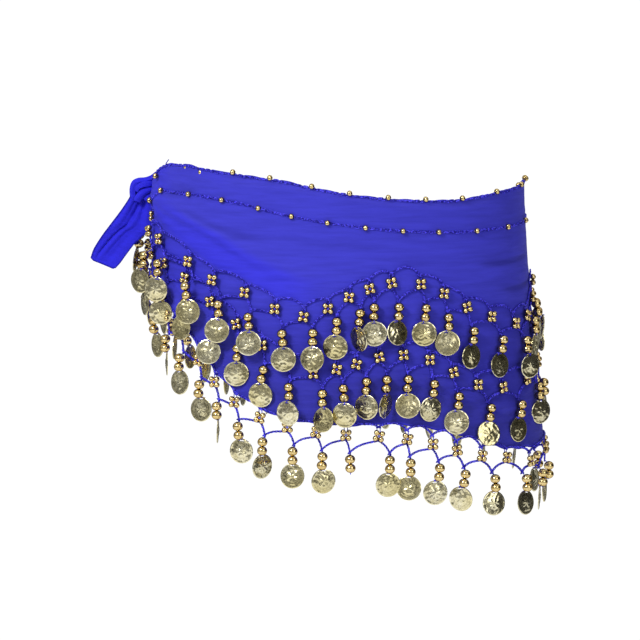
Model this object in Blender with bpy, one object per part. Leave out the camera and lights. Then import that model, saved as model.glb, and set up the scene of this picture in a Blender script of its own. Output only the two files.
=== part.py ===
"""A belly dance hip scarf in the shape that it has when it is worn.

The scarf goes once round the hips and is tied at the wearer's right hip, on -X.
+Z is up and the wearer faces -Y. The origin is at the middle of the open ring,
level with the top edge at the sides. Sizes below are in millimetres.

An angle is in degrees from the knot: 90 is the front, 180 is the middle of the
scarf, and 270 is the back. The back half is the front half mirrored, with its
top edge lower and its hem higher.
"""
import math
from collections import namedtuple

import bmesh
import bpy
from mathutils import Vector

MM = 0.001

# The general figure that the cloth follows
HALF_WIDTH_TOP = 152.0
HALF_DEPTH_TOP = 112.0
HALF_WIDTH_GROWTH = 17.8
HALF_DEPTH_GROWTH = 14.0
GROWTH_HEIGHT = 218.0
GROWTH_POWER = 1.4
# How far each line of the back lies above its mirror image, and the angle beside the knot where
# that begins. It is in full this many degrees on, and as many in from the scarf's middle.
BACK_RISES = {
    "top": (-20, 0), "bead_line": (-12, 0), "fold": (-3, 0),
    "upper": (8, 15), "middle": (8, 15), "hem": (28, 22), "low": (28, 22),
}
BACK_EASES = 50.0

# The cloth
CLOTH_THICK = 1.2
CLOTH_COLUMNS = 32
SEAM = 0.3
FOLD_HALF_WIDTH = 6.0

# The crochet nets
CHAIN = 2.2
LONGEST_CHORD = 18.0
CLOTH_TO_NET = 0.9
CROWDED_LIFT = 3.0
CROWDED_FROM = 66.0
CROWDED_FULL = 52.0
CLOVER_HALF = 3.9
CLOVER_THICK = 2.3
PEAK_RISE = 14.0
PEAK_FLATTENS = 6.0
HEM_OVERLAP = 1.0
VALLEY_DROP = 10.0
PEAK_AT = 0.55
STEEP = 0.6

# The pendants: two beads and a coin
BEAD = 6.0
BEAD_PITCH = 6.8
FIRST_BEAD_BELOW = 5.5
COIN_BELOW = 25.4
COIN_RADIUS = 10.0
COIN_THICK = 1.0
COIN_STANDS_OFF = 4.0
CLEARANCE = 0.4
THREAD = 1.2
WAIST = 1.2

# Heights of the lines round the front half, and of the raised fold
Section = namedtuple(
    "Section", "angle top bead_line fold upper middle hem low fold_height"
)
SECTIONS = (
    Section(0, 4, -6, -13, -33, -50, -62, -76, 0.8),
    Section(15, 9, -3, -12, -37, -55, -73, -83, 2.2),
    Section(25, 14, -4, -16, -43, -60, -88, -95, 2.8),
    Section(40, 17, -5, -26, -57, -73, -112, -121, 3.0),
    Section(52, 12, -8, -38, -73, -93, -142, -151, 2.8),
    Section(62, 10, -12, -52, -81, -111, -164, -172, 2.4),
    Section(72, 8, -18, -64, -94, -130, -178, -184, 1.6),
    Section(82, 3, -23, -72, -99, -144, -184, -190, 0.8),
    Section(92, -2, -27, -60, -85, -139, -186, -193, 0.0),
    Section(105, -6, -31, -50, -73, -130, -185, -195, 0.0),
    Section(117, -8, -33, -52, -76, -135, -190, -202, 0.0),
    Section(130, -8, -34, -62, -94, -154, -199, -212, 0.0),
    Section(142, -5, -33, -68, -104, -160, -209, -216, 0.0),
    Section(155, -2, -32, -70, -110, -157, -211, -222, 0.0),
    Section(167, 0, -30, -66, -101, -149, -210, -218, 0.0),
    Section(180, 4, -26, -52, -79, -141, -206, -211, 0.0),
)

# Where each line of the cloth begins beside the knot
EDGE_ANGLES = {
    "top": 3.0, "bead_line": 3.5, "fold": 8.0, "upper": 10.5, "middle": 12.0, "hem": 14.0,
}

# Angles of the four-bead clovers round the front half of each net
CLOVERS = {
    "upper": (15, 24, 41, 51, 62, 71.5, 80, 87, 93, 99, 105.5, 114.5, 122, 130, 140, 152.5, 163, 172, 180),
    "middle": (16, 27, 39, 50, 59.5, 68, 75.5, 83, 89.5, 95, 101.5, 108.5, 116.5, 124, 132.5, 143, 157, 172.5),
    "low": (21, 30, 38, 46.5, 53, 60, 68, 76, 84, 92, 101, 109, 116.5, 124, 132.5, 142.5, 155.5, 172),
}
# Where the chain comes down to a pendant, as a share of the way from one clover to the next
HANGS = {
    "upper": (.29, .22, .18, .26, .20, .29, .38, .43, .57, .20, .23, .18, .16, .19, .36, .50, .60, .60),
    "middle": (.30, .16, .14, .13, .12, .12, .12, .39, .32, .42, .30, .16, .12, .14, .40, .57, .60, .50),
    "low": (.16, .14, .12, .12, .18, .15, .16, .22, .18, .12, .39, .12, .26, .30, .42, .66, .50, .50),
}
# Each net's last clover, on the back beside the knot, has a pendant below it
LAST_CLOVER = {"upper": 352, "middle": 353, "low": 351}
LAST_HANG = 0.3
# The one pendant of the hem net that has lost its coin, counted from the knot
LOST_COIN = ("low", 9)

# The knot and its two ends
KNOT_CENTRE = (-159.3, -1.1, -3.0)
KNOT_HALF = (8.6, 11.0, 10.5)
KNOT_FURROW = 0.10
KNOT_WRAPS = 3
KNOT_ROUND = 14
KNOT_LEVELS = 9
TIE_THICK = 2.0
Cut = namedtuple("Cut", "outer_x outer_z inner_x inner_z y crease")
LONG_END = (
    Cut(-170.5, -9.5, -156, -16.5, -3.0, 1.0),
    Cut(-176, -21, -154.5, -29, -4.5, 2.0),
    Cut(-184.5, -32, -158, -39, -5.5, 3.0),
    Cut(-194, -44, -166, -50, -5.0, 3.2),
    Cut(-200, -55, -173, -60, -4.0, 2.6),
    Cut(-202, -64, -180, -71, -3.5, 1.6),
)
SHORT_END = (
    Cut(-164.5, -12, -163.0, -12, 4.0, 0.6),
    Cut(-168, -28, -167.5, -28, 8.0, 1.2),
    Cut(-171, -42, -170.5, -42, 11.0, 1.5),
    Cut(-172, -54, -171.5, -56, 13.0, 1.0),
)
SHORT_END_HALF_WIDTHS = (4.0, 8.0, 10.5, 11.5)
SHORT_END_SKEW = 0.15
TIE_COLUMNS = 4

# Colours and finishes
ROYAL_BLUE = (0.045, 0.042, 0.60, 1.0)
CHAIN_BLUE = (0.035, 0.028, 0.72, 1.0)
TIE_BLUE = (0.022, 0.018, 0.62, 1.0)


def smooth_value(column, angle):
    """A column of SECTIONS at any angle from 0 to 180, on a smooth curve."""
    last = len(SECTIONS) - 1
    i = next((k for k in range(last) if angle <= SECTIONS[k + 1].angle), last - 1)

    def knot(k):
        k = min(max(k, 0), last)
        return SECTIONS[k].angle, getattr(SECTIONS[k], column)

    def slope(k):
        (a0, v0), (a1, v1) = knot(k - 1), knot(k + 1)
        return (v1 - v0) / (a1 - a0) if 0 < k < last else 0.0

    (a0, v0), (a1, v1) = knot(i), knot(i + 1)
    span = a1 - a0
    t = (angle - a0) / span
    rise = t * t * (3 - 2 * t)
    enter = t * (1 - t) ** 2 * span * slope(i)
    leave = t * t * (t - 1) * span * slope(i + 1)
    return v0 + (v1 - v0) * rise + enter + leave


def folded(angle):
    """The angle on the front half that this one mirrors."""
    return angle if angle <= 180 else 360 - angle


def height(line, angle):
    front = folded(angle)
    level = smooth_value(line, front)
    if angle <= 180:
        return level
    rise, start = BACK_RISES[line]
    t = min(max((front - start) / BACK_EASES, 0.0), (180 - front) / BACK_EASES, 1.0)
    return level + rise * t * t * (3 - 2 * t)


def half_sizes(z):
    grown = max(-z / GROWTH_HEIGHT, 0.0) ** GROWTH_POWER
    return HALF_WIDTH_TOP + HALF_WIDTH_GROWTH * grown, HALF_DEPTH_TOP + HALF_DEPTH_GROWTH * grown


def frame_at(angle, z):
    """A point of the cloth's outer face, and the directions along and out of it.

    Below the hem it goes straight down.
    """
    a, b = half_sizes(max(z, height("hem", angle)))
    c, s = math.cos(math.radians(angle)), math.sin(math.radians(angle))
    along = Vector((a * s, -b * c, 0)).normalized()
    return Vector((-a * c, -b * s, z)), along, Vector((-c / a, -s / b, 0)).normalized()


def on_cloth(angle, z, out=0.0, aside=0.0):
    """A point moved out from the cloth, and aside in the plane that touches it there."""
    point, along, outward = frame_at(angle, z)
    return point + along * aside + outward * out


def mm_per_degree(angle, z):
    a, b = half_sizes(z)
    c, s = math.cos(math.radians(angle)), math.sin(math.radians(angle))
    return math.radians(math.hypot(a * s, b * c))


def finish(bm, name, material):
    """Makes the object of a finished closed mesh, in metres."""
    bmesh.ops.recalc_face_normals(bm, faces=bm.faces)
    bmesh.ops.scale(bm, vec=(MM, MM, MM), verts=bm.verts)
    mesh = bpy.data.meshes.new(name)
    bm.to_mesh(mesh)
    bm.free()
    mesh.materials.append(material)
    made = bpy.data.objects.new(name, mesh)
    bpy.context.collection.objects.link(made)
    return made


def finish_material(name, colour, roughness, metallic=0.0):
    material = bpy.data.materials.new(name)
    material.use_nodes = True
    shader = material.node_tree.nodes["Principled BSDF"]
    shader.inputs["Base Color"].default_value = colour
    shader.inputs["Roughness"].default_value = roughness
    shader.inputs["Metallic"].default_value = metallic
    return material


def closed_wall(name, outer, inner, material):
    """A wall between two grids of points that have the same rows and columns."""
    bm = bmesh.new()
    grids = [[[bm.verts.new(p) for p in row] for row in grid] for grid in (outer, inner)]
    rows, columns = len(outer), len(outer[0])
    for grid in grids:
        for r in range(rows - 1):
            for c in range(columns - 1):
                bm.faces.new((grid[r][c], grid[r][c + 1], grid[r + 1][c + 1], grid[r + 1][c]))
    rim = [(0, c) for c in range(columns)]
    rim += [(r, columns - 1) for r in range(1, rows)]
    rim += [(rows - 1, c) for c in range(columns - 2, -1, -1)]
    rim += [(r, 0) for r in range(rows - 2, 0, -1)]
    for (r0, c0), (r1, c1) in zip(rim, rim[1:] + rim[:1]):
        bm.faces.new((grids[0][r0][c0], grids[0][r1][c1], grids[1][r1][c1], grids[1][r0][c0]))
    return finish(bm, name, material)


def cloth_levels(angle):
    """Heights down the cloth at an angle, each with how far the fold raises it."""
    lines = {name: height(name, angle) for name in EDGE_ANGLES}
    raised = smooth_value("fold_height", folded(angle))
    return (
        (lines["top"], 0.0),
        (lines["bead_line"], 0.0),
        (lines["fold"] + FOLD_HALF_WIDTH, 0.0),
        (lines["fold"], raised),
        (lines["fold"] - FOLD_HALF_WIDTH, 0.0),
        (lines["upper"], 0.0),
        (0.5 * (lines["upper"] + lines["middle"]), 0.0),
        (lines["middle"], 0.0),
        (0.5 * (lines["middle"] + lines["hem"]), 0.0),
        (lines["hem"], 0.0),
    )


def edge_angles():
    """Where each level of the cloth begins beside the knot."""
    e = EDGE_ANGLES
    return (
        e["top"], e["bead_line"], e["fold"] - 1, e["fold"], e["fold"] + 1, e["upper"],
        0.5 * (e["upper"] + e["middle"]), e["middle"], 0.5 * (e["middle"] + e["hem"]), e["hem"],
    )


def cloth_stretch(name, back, material):
    """Half of the scarf's length, from its end beside the knot to its middle."""
    half_seam = 0.5 * SEAM / mm_per_degree(180, 0)
    outer, inner = [], []
    for level, start in enumerate(edge_angles()):
        rows = ([], [])
        for column in range(CLOTH_COLUMNS + 1):
            angle = start + (180 - half_seam - start) * column / CLOTH_COLUMNS
            angle = 360 - angle if back else angle
            z, raised = cloth_levels(angle)[level]
            rows[0].append(on_cloth(angle, z, raised))
            rows[1].append(on_cloth(angle, z, raised - CLOTH_THICK))
        outer.append(rows[0])
        inner.append(rows[1])
    return closed_wall(name, outer, inner, material)


class Net:
    """A crochet net of chains, clovers and pendants, built as one closed mesh.

    A corner is a pair of points, the inner and the outer. A side is a pair of
    corners, and a strand joins two sides.
    """

    laid = []

    def __init__(self, line):
        self.line = line
        self.bm = bmesh.new()

    def corner(self, angle, z, aside, below, above):
        return tuple(self.bm.verts.new(on_cloth(angle, z, d, aside)) for d in (below, above))

    def strand(self, side, other):
        (p, q), (r, s) = side, other
        ring, next_ring = (p[0], p[1], q[1], q[0]), (r[0], r[1], s[1], s[0])
        for i in range(4):
            j = (i + 1) % 4
            self.bm.faces.new((ring[i], ring[j], next_ring[j], next_ring[i]))

    def plate(self, corners):
        """The inner and outer faces of a flat junction."""
        for layer in (0, 1):
            self.bm.faces.new([c[layer] for c in corners])

    def close(self, side):
        p, q = side
        self.bm.faces.new((p[0], p[1], q[1], q[0]))

    def base(self, angle):
        """How far the chain lies out from the cloth. The upper net crosses the next near the knot."""
        if self.line != "upper":
            return CLOTH_TO_NET
        t = (CROWDED_FROM - folded(angle)) / (CROWDED_FROM - CROWDED_FULL)
        return CLOTH_TO_NET + CROWDED_LIFT * min(max(t, 0.0), 1.0)

    def lay(self, angle, z, half_width, half_height, top):
        Net.laid.append((self.line, angle, z, half_width, half_height, top))

    def rest(self, angle, z, half_width, half_height, least, own=False):
        """The lowest place over what lies there, of the nets below this one and, if asked, of its own."""
        for line, a, other_z, w, h, top in Net.laid:
            if line == self.line and not own:
                continue
            apart = abs(a - angle) * mm_per_degree(angle, z)
            if apart < half_width + w and abs(other_z - z) < half_height + h:
                least = max(least, top + CLEARANCE)
        return least

    def clover(self, angle):
        """A flat body of four small beads, with the sides that its chains join."""
        z, base, h = height(self.line, angle), self.base(angle), CLOVER_HALF
        top = base + CLOVER_THICK
        places = {"TL": (-h, h), "TM": (0, h), "TR": (h, h), "BR": (h, -h), "BM": (0, -h), "BL": (-h, -h)}
        c = {name: self.corner(angle, z + up, aside, base, top) for name, (aside, up) in places.items()}
        self.plate([c[name] for name in places])
        self.close((c["TL"], c["BL"]))
        self.close((c["TR"], c["BR"]))
        self.lay(angle, z, h, h, top)
        return {
            "angle": angle, "z": z,
            "up_left": (c["TM"], c["TL"]), "up_right": (c["TM"], c["TR"]),
            "down_left": (c["BL"], c["BM"]), "down_right": (c["BR"], c["BM"]),
        }

    def chain_bit(self, angle, z):
        """A side across the chain at its highest point."""
        base, half = self.base(angle), 0.5 * CHAIN
        self.lay(angle, z, half, half, base + CHAIN)
        return tuple(self.corner(angle, z + up, 0.0, base, base + CHAIN) for up in (half, -half))

    def chain(self, side, other, start, end):
        """A chain between two sides at (angle, z) places, bent once where it is long, to follow the cloth."""
        (a0, z0), (a1, z1) = start, end
        for k in (1, 2, 3):
            angle, z = a0 + (a1 - a0) * k / 4, z0 + (z1 - z0) * k / 4
            self.lay(angle, z, CHAIN, CHAIN, self.base(angle) + CHAIN)
        angle, z = 0.5 * (a0 + a1), 0.5 * (z0 + z1)
        run, fall = (a1 - a0) * mm_per_degree(angle, z), z1 - z0
        length = math.hypot(run, fall)
        if length < LONGEST_CHORD:
            self.strand(side, other)
            return
        half = math.copysign(0.5 * CHAIN, run) / length
        base = self.base(angle)
        bend = tuple(
            self.corner(angle, z + sign * run * half, -sign * fall * half, base, base + CHAIN)
            for sign in (1, -1)
        )
        self.strand(side, bend)
        self.strand(bend, other)

    def link(self, left, right, hang, peak_at):
        """The chains between two clovers, and the place where a pendant hangs.

        The pendant and the chain's peak are at shares of the way from left to right.
        """
        span = right["angle"] - left["angle"]
        middle = 0.5 * (left["angle"] + right["angle"])
        down = (left["z"] - right["z"]) / (span * mm_per_degree(middle, left["z"]))
        peak_angle = left["angle"] + peak_at * span
        if self.line == "low":
            peak_z = height("hem", peak_angle) + HEM_OVERLAP
        else:
            flattened = PEAK_FLATTENS * min(1.0, abs(down) / STEEP)
            peak_z = 0.5 * (left["z"] + right["z"]) + PEAK_RISE - flattened
        peak = self.chain_bit(peak_angle, peak_z)
        for clover, side in ((left, "up_right"), (right, "up_left")):
            start = (clover["angle"], clover["z"] + CLOVER_HALF)
            self.chain(clover[side], peak, start, (peak_angle, peak_z))

        angle = left["angle"] + hang * span
        z = max(left["z"], right["z"]) - CLOVER_HALF - VALLEY_DROP
        base, half = self.base(angle), 0.5 * CHAIN
        head = self.corner(angle, z + half, 0.0, base, base + CHAIN)
        foot = [self.corner(angle, z - half, aside, base, base + CHAIN) for aside in (-half, half)]
        self.plate((head, foot[0], foot[1]))
        for clover, side, corner in ((left, "down_right", foot[0]), (right, "down_left", foot[1])):
            start = (clover["angle"], clover["z"] - CLOVER_HALF)
            self.chain(clover[side], (head, corner), start, (angle, z))
        return angle, z, foot

    def pendant(self, angle, z, foot, has_coin=True):
        """Two beads and a coin, as one string of four-sided sections."""
        half = 0.5 * BEAD
        bead_z = [z - FIRST_BEAD_BELOW - k * BEAD_PITCH for k in (0, 1)]
        least = self.base(angle)
        base = max(self.rest(angle, bz, half, half, least) for bz in bead_z)
        middle = base + half
        string = [tuple(foot)]

        def section(at, aside, low, high):
            string.append(tuple(self.corner(angle, at, x, low, high) for x in (-aside, aside)))

        section(bead_z[0], half, base, base + BEAD)
        section(0.5 * sum(bead_z), WAIST, middle - WAIST, middle + WAIST)
        section(bead_z[1], half, base, base + BEAD)
        for bz in bead_z:
            self.lay(angle, bz, half, half, base + BEAD)
        if has_coin:
            self.coin(angle, z - COIN_BELOW, string, middle)
        else:
            section(bead_z[1] - half, WAIST, middle - WAIST, middle + WAIST)
        for side, other in zip(string, string[1:]):
            self.strand(side, other)
        self.close(string[-1])

    def coin(self, angle, z, string, thread_out):
        """Adds an eight-sided coin, which lies over what it meets, its neighbour's coin too."""
        broad = COIN_RADIUS * math.cos(math.pi / 8)
        narrow = COIN_RADIUS * math.sin(math.pi / 8)
        below = self.rest(angle, z, broad, COIN_RADIUS, CLOTH_TO_NET, own=True)
        out = max(COIN_STANDS_OFF, below + 0.5 * COIN_THICK)
        self.lay(angle, z, broad, COIN_RADIUS, out + 0.5 * COIN_THICK)
        half_widths = ((broad, narrow), (narrow, broad), (-narrow, broad), (-broad, narrow))
        places = [(broad + THREAD, 0.5 * THREAD, 0.5 * (out + thread_out))]
        places += [(up, half_width, out) for up, half_width in half_widths]
        for up, half_width, centre in places:
            faces = (centre - 0.5 * COIN_THICK, centre + 0.5 * COIN_THICK)
            string.append(tuple(self.corner(angle, z + up, x, *faces) for x in (-half_width, half_width)))


def net(name, line, material):
    """One net all the way round, from one end of the scarf to the other."""
    made = Net(line)
    front = CLOVERS[line]
    back = [360 - a for a in reversed(front) if a != 180]
    back[-1] = LAST_CLOVER[line]
    clovers = [made.clover(a) for a in (*front, *back)]
    first, last = clovers[0], clovers[-1]
    for side in (first["up_left"], first["down_left"], last["up_right"]):
        made.close(side)

    shares = [(hang, PEAK_AT) for hang in HANGS[line]]
    mirrored = [(1 - hang, 1 - peak_at) for hang, peak_at in reversed(shares)]
    # Without a clover at the scarf's middle, one link crosses it and has no mirror image
    shares += mirrored if 180 in front else mirrored[1:]
    shares[-1] = (LAST_HANG, PEAK_AT)
    hung = [made.link(left, right, *share) for left, right, share in zip(clovers, clovers[1:], shares)]
    for number, (angle, z, foot) in enumerate(hung):
        made.pendant(angle, z, foot, (line, number) != LOST_COIN)
    made.pendant(last["angle"], last["z"] - CLOVER_HALF, last["down_right"][::-1])
    return finish(made.bm, name, material)


def knot(material):
    """The knot: a soft ball with the furrows of its wraps."""
    bm = bmesh.new()
    centre = Vector(KNOT_CENTRE)
    ends = [bm.verts.new(centre + Vector((0, 0, sign * KNOT_HALF[2]))) for sign in (1, -1)]
    rings = []
    for level in range(1, KNOT_LEVELS):
        polar = math.pi * level / KNOT_LEVELS
        ring = []
        for k in range(KNOT_ROUND):
            turn = 2 * math.pi * k / KNOT_ROUND
            wave = 1 + KNOT_FURROW * math.cos(KNOT_WRAPS * (turn + polar)) * math.sin(polar)
            x = KNOT_HALF[0] * math.sin(polar) * math.cos(turn) * wave
            y = KNOT_HALF[1] * math.sin(polar) * math.sin(turn) * wave
            ring.append(bm.verts.new(centre + Vector((x, y, KNOT_HALF[2] * math.cos(polar)))))
        rings.append(ring)
    for k in range(KNOT_ROUND):
        j = (k + 1) % KNOT_ROUND
        bm.faces.new((ends[0], rings[0][k], rings[0][j]))
        bm.faces.new((ends[1], rings[-1][k], rings[-1][j]))
        for upper, lower in zip(rings, rings[1:]):
            bm.faces.new((upper[k], upper[j], lower[j], lower[k]))
    return finish(bm, "knot", material)


def long_end(material):
    """The end that hangs to the side of the knot, with one crease down its middle."""
    outer, inner = [], []
    for cut in LONG_END:
        rows = ([], [])
        for column in range(TIE_COLUMNS + 1):
            t = column / TIE_COLUMNS
            x = cut.outer_x + (cut.inner_x - cut.outer_x) * t
            z = cut.outer_z + (cut.inner_z - cut.outer_z) * t
            y = cut.y + cut.crease * math.sin(math.pi * t) ** 2
            rows[0].append(Vector((x, y - 0.5 * TIE_THICK, z)))
            rows[1].append(Vector((x, y + 0.5 * TIE_THICK, z)))
        outer.append(rows[0])
        inner.append(rows[1])
    return closed_wall("tie_end_long", outer, inner, material)


def short_end(material):
    """The other end, which lies flat over the hidden side below the knot."""
    outer, inner = [], []
    for cut, half_width in zip(SHORT_END, SHORT_END_HALF_WIDTHS):
        rows = ([], [])
        for column in range(TIE_COLUMNS + 1):
            t = 2 * column / TIE_COLUMNS - 1
            x = cut.outer_x - cut.crease * (1 - t * t)
            z = cut.outer_z + SHORT_END_SKEW * half_width * t
            y = cut.y + half_width * t
            rows[0].append(Vector((x - 0.5 * TIE_THICK, y, z)))
            rows[1].append(Vector((x + 0.5 * TIE_THICK, y, z)))
        outer.append(rows[0])
        inner.append(rows[1])
    return closed_wall("tie_end_short", outer, inner, material)


def main():
    for old in list(bpy.data.objects):
        bpy.data.objects.remove(old)
    chiffon = finish_material("chiffon", ROYAL_BLUE, 0.75)
    tie_chiffon = finish_material("gathered chiffon", TIE_BLUE, 0.7)
    crochet = finish_material("crochet chain with metal trim", CHAIN_BLUE, 0.6)
    cloth_stretch("cloth_front", False, chiffon)
    cloth_stretch("cloth_back", True, chiffon)
    net("hem_net", "low", crochet)
    net("middle_net", "middle", crochet)
    net("upper_net", "upper", crochet)
    knot(tie_chiffon)
    long_end(tie_chiffon)
    short_end(tie_chiffon)


main()
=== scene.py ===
"""The finished look of a belly dance hip scarf in the shape that it has on the wearer.

Sizes are in millimetres and angles in degrees until a mesh is finished, in the same frame as the
solids: +Z is up, the wearer faces -Y, and the knot is on -X. An angle goes round from the knot:
90 is the front, 180 is the middle of the scarf, and 270 is the back.
"""

import math
import random
from collections import namedtuple
from functools import lru_cache

import bmesh
import bpy
from mathutils import Matrix, Vector, noise


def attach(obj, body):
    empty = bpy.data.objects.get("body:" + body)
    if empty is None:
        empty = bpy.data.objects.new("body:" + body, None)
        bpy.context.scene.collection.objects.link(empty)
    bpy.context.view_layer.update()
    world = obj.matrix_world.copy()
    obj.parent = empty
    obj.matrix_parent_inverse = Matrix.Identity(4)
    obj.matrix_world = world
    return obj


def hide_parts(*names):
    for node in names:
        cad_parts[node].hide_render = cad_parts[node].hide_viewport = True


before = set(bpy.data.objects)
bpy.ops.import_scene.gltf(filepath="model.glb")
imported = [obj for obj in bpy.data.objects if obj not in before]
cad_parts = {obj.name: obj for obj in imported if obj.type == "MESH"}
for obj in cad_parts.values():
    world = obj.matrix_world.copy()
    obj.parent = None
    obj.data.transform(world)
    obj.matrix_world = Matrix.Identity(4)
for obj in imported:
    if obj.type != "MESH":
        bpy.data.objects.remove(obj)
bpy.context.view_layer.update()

MM = 0.001
SEED = 7

# The general figure that the cloth follows
HALF_WIDTH_TOP = 152.0
HALF_DEPTH_TOP = 112.0
HALF_WIDTH_GROWTH = 17.8
HALF_DEPTH_GROWTH = 14.0
GROWTH_HEIGHT = 218.0
GROWTH_POWER = 1.4
# How far each line of the back lies above its mirror image, and the angle beside the knot where
# that begins. It is in full this many degrees on, and as many in from the scarf's middle.
BACK_RISES = {
    "top": (-20, 0), "bead_line": (-12, 0), "fold": (-3, 0),
    "upper": (8, 15), "middle": (8, 15), "hem": (28, 22), "low": (28, 22),
}
BACK_EASES = 50.0

# How far the finished top edge stands above the line's height at some angles, in millimetres
TOP_TRIM = (
    (9, 0), (20, 3.6), (27, 3.8), (36.5, 1.9), (42, 0.6), (50, 1.9), (55, 2.6), (61, 1.5),
    (70, 0.6), (84, 0),
)

# The chiffon
CHIFFON_THICK = 0.5
TIE_THICK = 0.7
# What the tone attribute, which counts the cloth's layering and holds its painted shade, says where the
# cloth lies double
TWO_LAYERS = 0.5
CHIFFON_COLUMNS = 176
CHIFFON_ROWS = 92
SEAM = 0.02
# How far the raised fold reaches above and below its line
FOLD_ABOVE = 14.0
FOLD_BELOW = 9.0
RIPPLE = 0.45
BACK_SOFTER = 0.25
# The small waves of the top edge and of the hem: their height, how many degrees one takes, and
# how far from the edge they die away
TOP_WAVE = (0.7, 12.0, 6.0)
HEM_WAVE = (0.6, 8.0, 8.0)
# The rolled hem: how wide it is, and how far it stands out
HEM_ROLL = 1.5
HEM_RISE = 0.35

# The crochet and what hangs on it
CHAIN = 2.5
STITCH_PITCH = 2.9
STITCH_LENGTH = 4.5
YARN = 1.1
THREAD = 0.8
CHAIN_LIES = 1.1
SMALL_BEAD = 2.45
BIG_BEAD = 4.15
BEAD_PITCH = 7.1
BEAD_FLAT = 0.9
BEAD_HOLE = 0.24
FIRST_BEAD_BELOW = 5.3
COIN_BELOW = 25.4
COIN_RADIUS = 10.0
COIN_THICK = 0.7
COIN_HOLE_AT = 8.6
COIN_DOME = 0.7
COIN_SIDES = 32
COIN_RINGS = (1.2, 2.5, 3.8, 5.0, 5.9, 7.1, 8.1, 9.0, 9.5, 10.0)
CLOVER_HALF = 3.9
CLOVER_SPREAD = 1.3
CLOVER_HANGS = 7.2
CLOVER_TWIST = 15.0
# The threads that hold a clover: how far to each side, and from where to where above its middle
CLOVER_THREADS_ASIDE = 1.3
CLOVER_THREADS = (CLOVER_HANGS - 0.4, 2.0)
# How a net's chains bow aside, as a share of their span, and how far they rise, for the two
# that meet at a peak and the two that meet at a valley
PEAK_ARCHES = ((-0.10, 0.8), (0.08, 0.8))
VALLEY_ARCHES = ((0.10, 0.9), (-0.12, 1.2))
# The upper net crosses the next one near the knot, so it lies this much further out there
UPPER_CROSSES = 2.6
# A pendant: how low its beads may lie, how far they sway, and how far its coin reaches, keeps
# off what is below, stands away when it is turned, and leans with its string
PENDANT_SINKS = 0.6
SWAY = 0.5
COIN_REACH = 0.9 * COIN_RADIUS
COIN_KEEPS_OFF = 0.3
TURNED_COIN_STANDS = 0.62
COIN_LEANS = 0.8
# The loop of thread through a coin's hole
LOOP_OUT = 0.9
LOOP_UP = 1.2
# The peaks and valleys of a net's chains
VALLEY_DROP = 10.0
PEAK_RISE = 14.0
PEAK_FLATTENS = 6.0
PEAK_AT = 0.55
STEEP = 0.6
# What lies on something else keeps this far off it
CLEARANCE = 0.3

# Heights of the lines round the front half, and of the raised fold
Section = namedtuple(
    "Section", "angle top bead_line fold upper middle hem low fold_height"
)
SECTIONS = (
    Section(0, 4, -6, -13, -33, -50, -62, -76, 0.8),
    Section(15, 9, -3, -12, -37, -55, -73, -83, 2.2),
    Section(25, 14, -4, -16, -43, -60, -88, -95, 2.8),
    Section(40, 17, -5, -26, -57, -73, -112, -121, 3.0),
    Section(52, 12, -8, -38, -73, -93, -142, -151, 2.8),
    Section(62, 10, -12, -52, -81, -111, -164, -172, 2.4),
    Section(72, 8, -18, -64, -94, -130, -178, -184, 1.6),
    Section(82, 3, -23, -72, -99, -144, -184, -190, 0.8),
    Section(92, -2, -27, -60, -85, -139, -186, -193, 0.0),
    Section(105, -6, -31, -50, -73, -130, -185, -195, 0.0),
    Section(117, -8, -33, -52, -76, -135, -190, -202, 0.0),
    Section(130, -8, -34, -62, -94, -154, -199, -212, 0.0),
    Section(142, -5, -33, -68, -104, -160, -209, -216, 0.0),
    Section(155, -2, -32, -70, -110, -157, -211, -222, 0.0),
    Section(167, 0, -30, -66, -101, -149, -210, -218, 0.0),
    Section(180, 4, -26, -52, -79, -141, -206, -211, 0.0),
)

# Where each line of the cloth begins beside the knot
EDGE_ANGLES = {
    "top": 3.0, "bead_line": 3.5, "fold": 8.0, "upper": 10.5, "middle": 12.0, "hem": 14.0,
}

# Angles of the four-bead clovers round the front half of each net
CLOVERS = {
    "upper": (
        15, 24, 41, 51, 62, 71.5, 80, 87, 93, 99, 105.5, 114.5, 122, 130, 140, 152.5, 163, 172, 180,
    ),
    "middle": (
        16, 27, 39, 50, 59.5, 68, 75.5, 83, 89.5, 95, 101.5, 108.5, 116.5, 124, 132.5, 143, 157,
        172.5,
    ),
    "low": (
        21, 30, 38, 46.5, 53, 60, 68, 76, 84, 92, 101, 109, 116.5, 124, 132.5, 142.5, 155.5, 172,
    ),
}
# Where the chain comes down to a pendant, as a share of the way from one clover to the next
HANGS = {
    "upper": (
        .29, .22, .18, .26, .20, .29, .38, .43, .57, .20, .23, .18, .16, .19, .36, .50, .60, .60,
    ),
    "middle": (
        .30, .16, .14, .13, .12, .12, .12, .39, .32, .42, .30, .16, .12, .14, .40, .57, .60, .50,
    ),
    "low": (
        .16, .14, .12, .12, .18, .15, .16, .22, .18, .12, .39, .12, .26, .30, .42, .66, .50, .50,
    ),
}
# Each net's last clover, on the back beside the knot, has a pendant below it
LAST_CLOVER = {"upper": 352, "middle": 353, "low": 351}
LAST_HANG = 0.3
# How far the camera looks down, in degrees, which says what the front hides
CAMERA_RISES = 5.0
# How many petals the flower of each kind of coin has
COIN_PETALS = (6, 8, 5)
# The one pendant of the hem net that has lost its coin, counted from the knot
LOST_COIN = ("low", 9)

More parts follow.
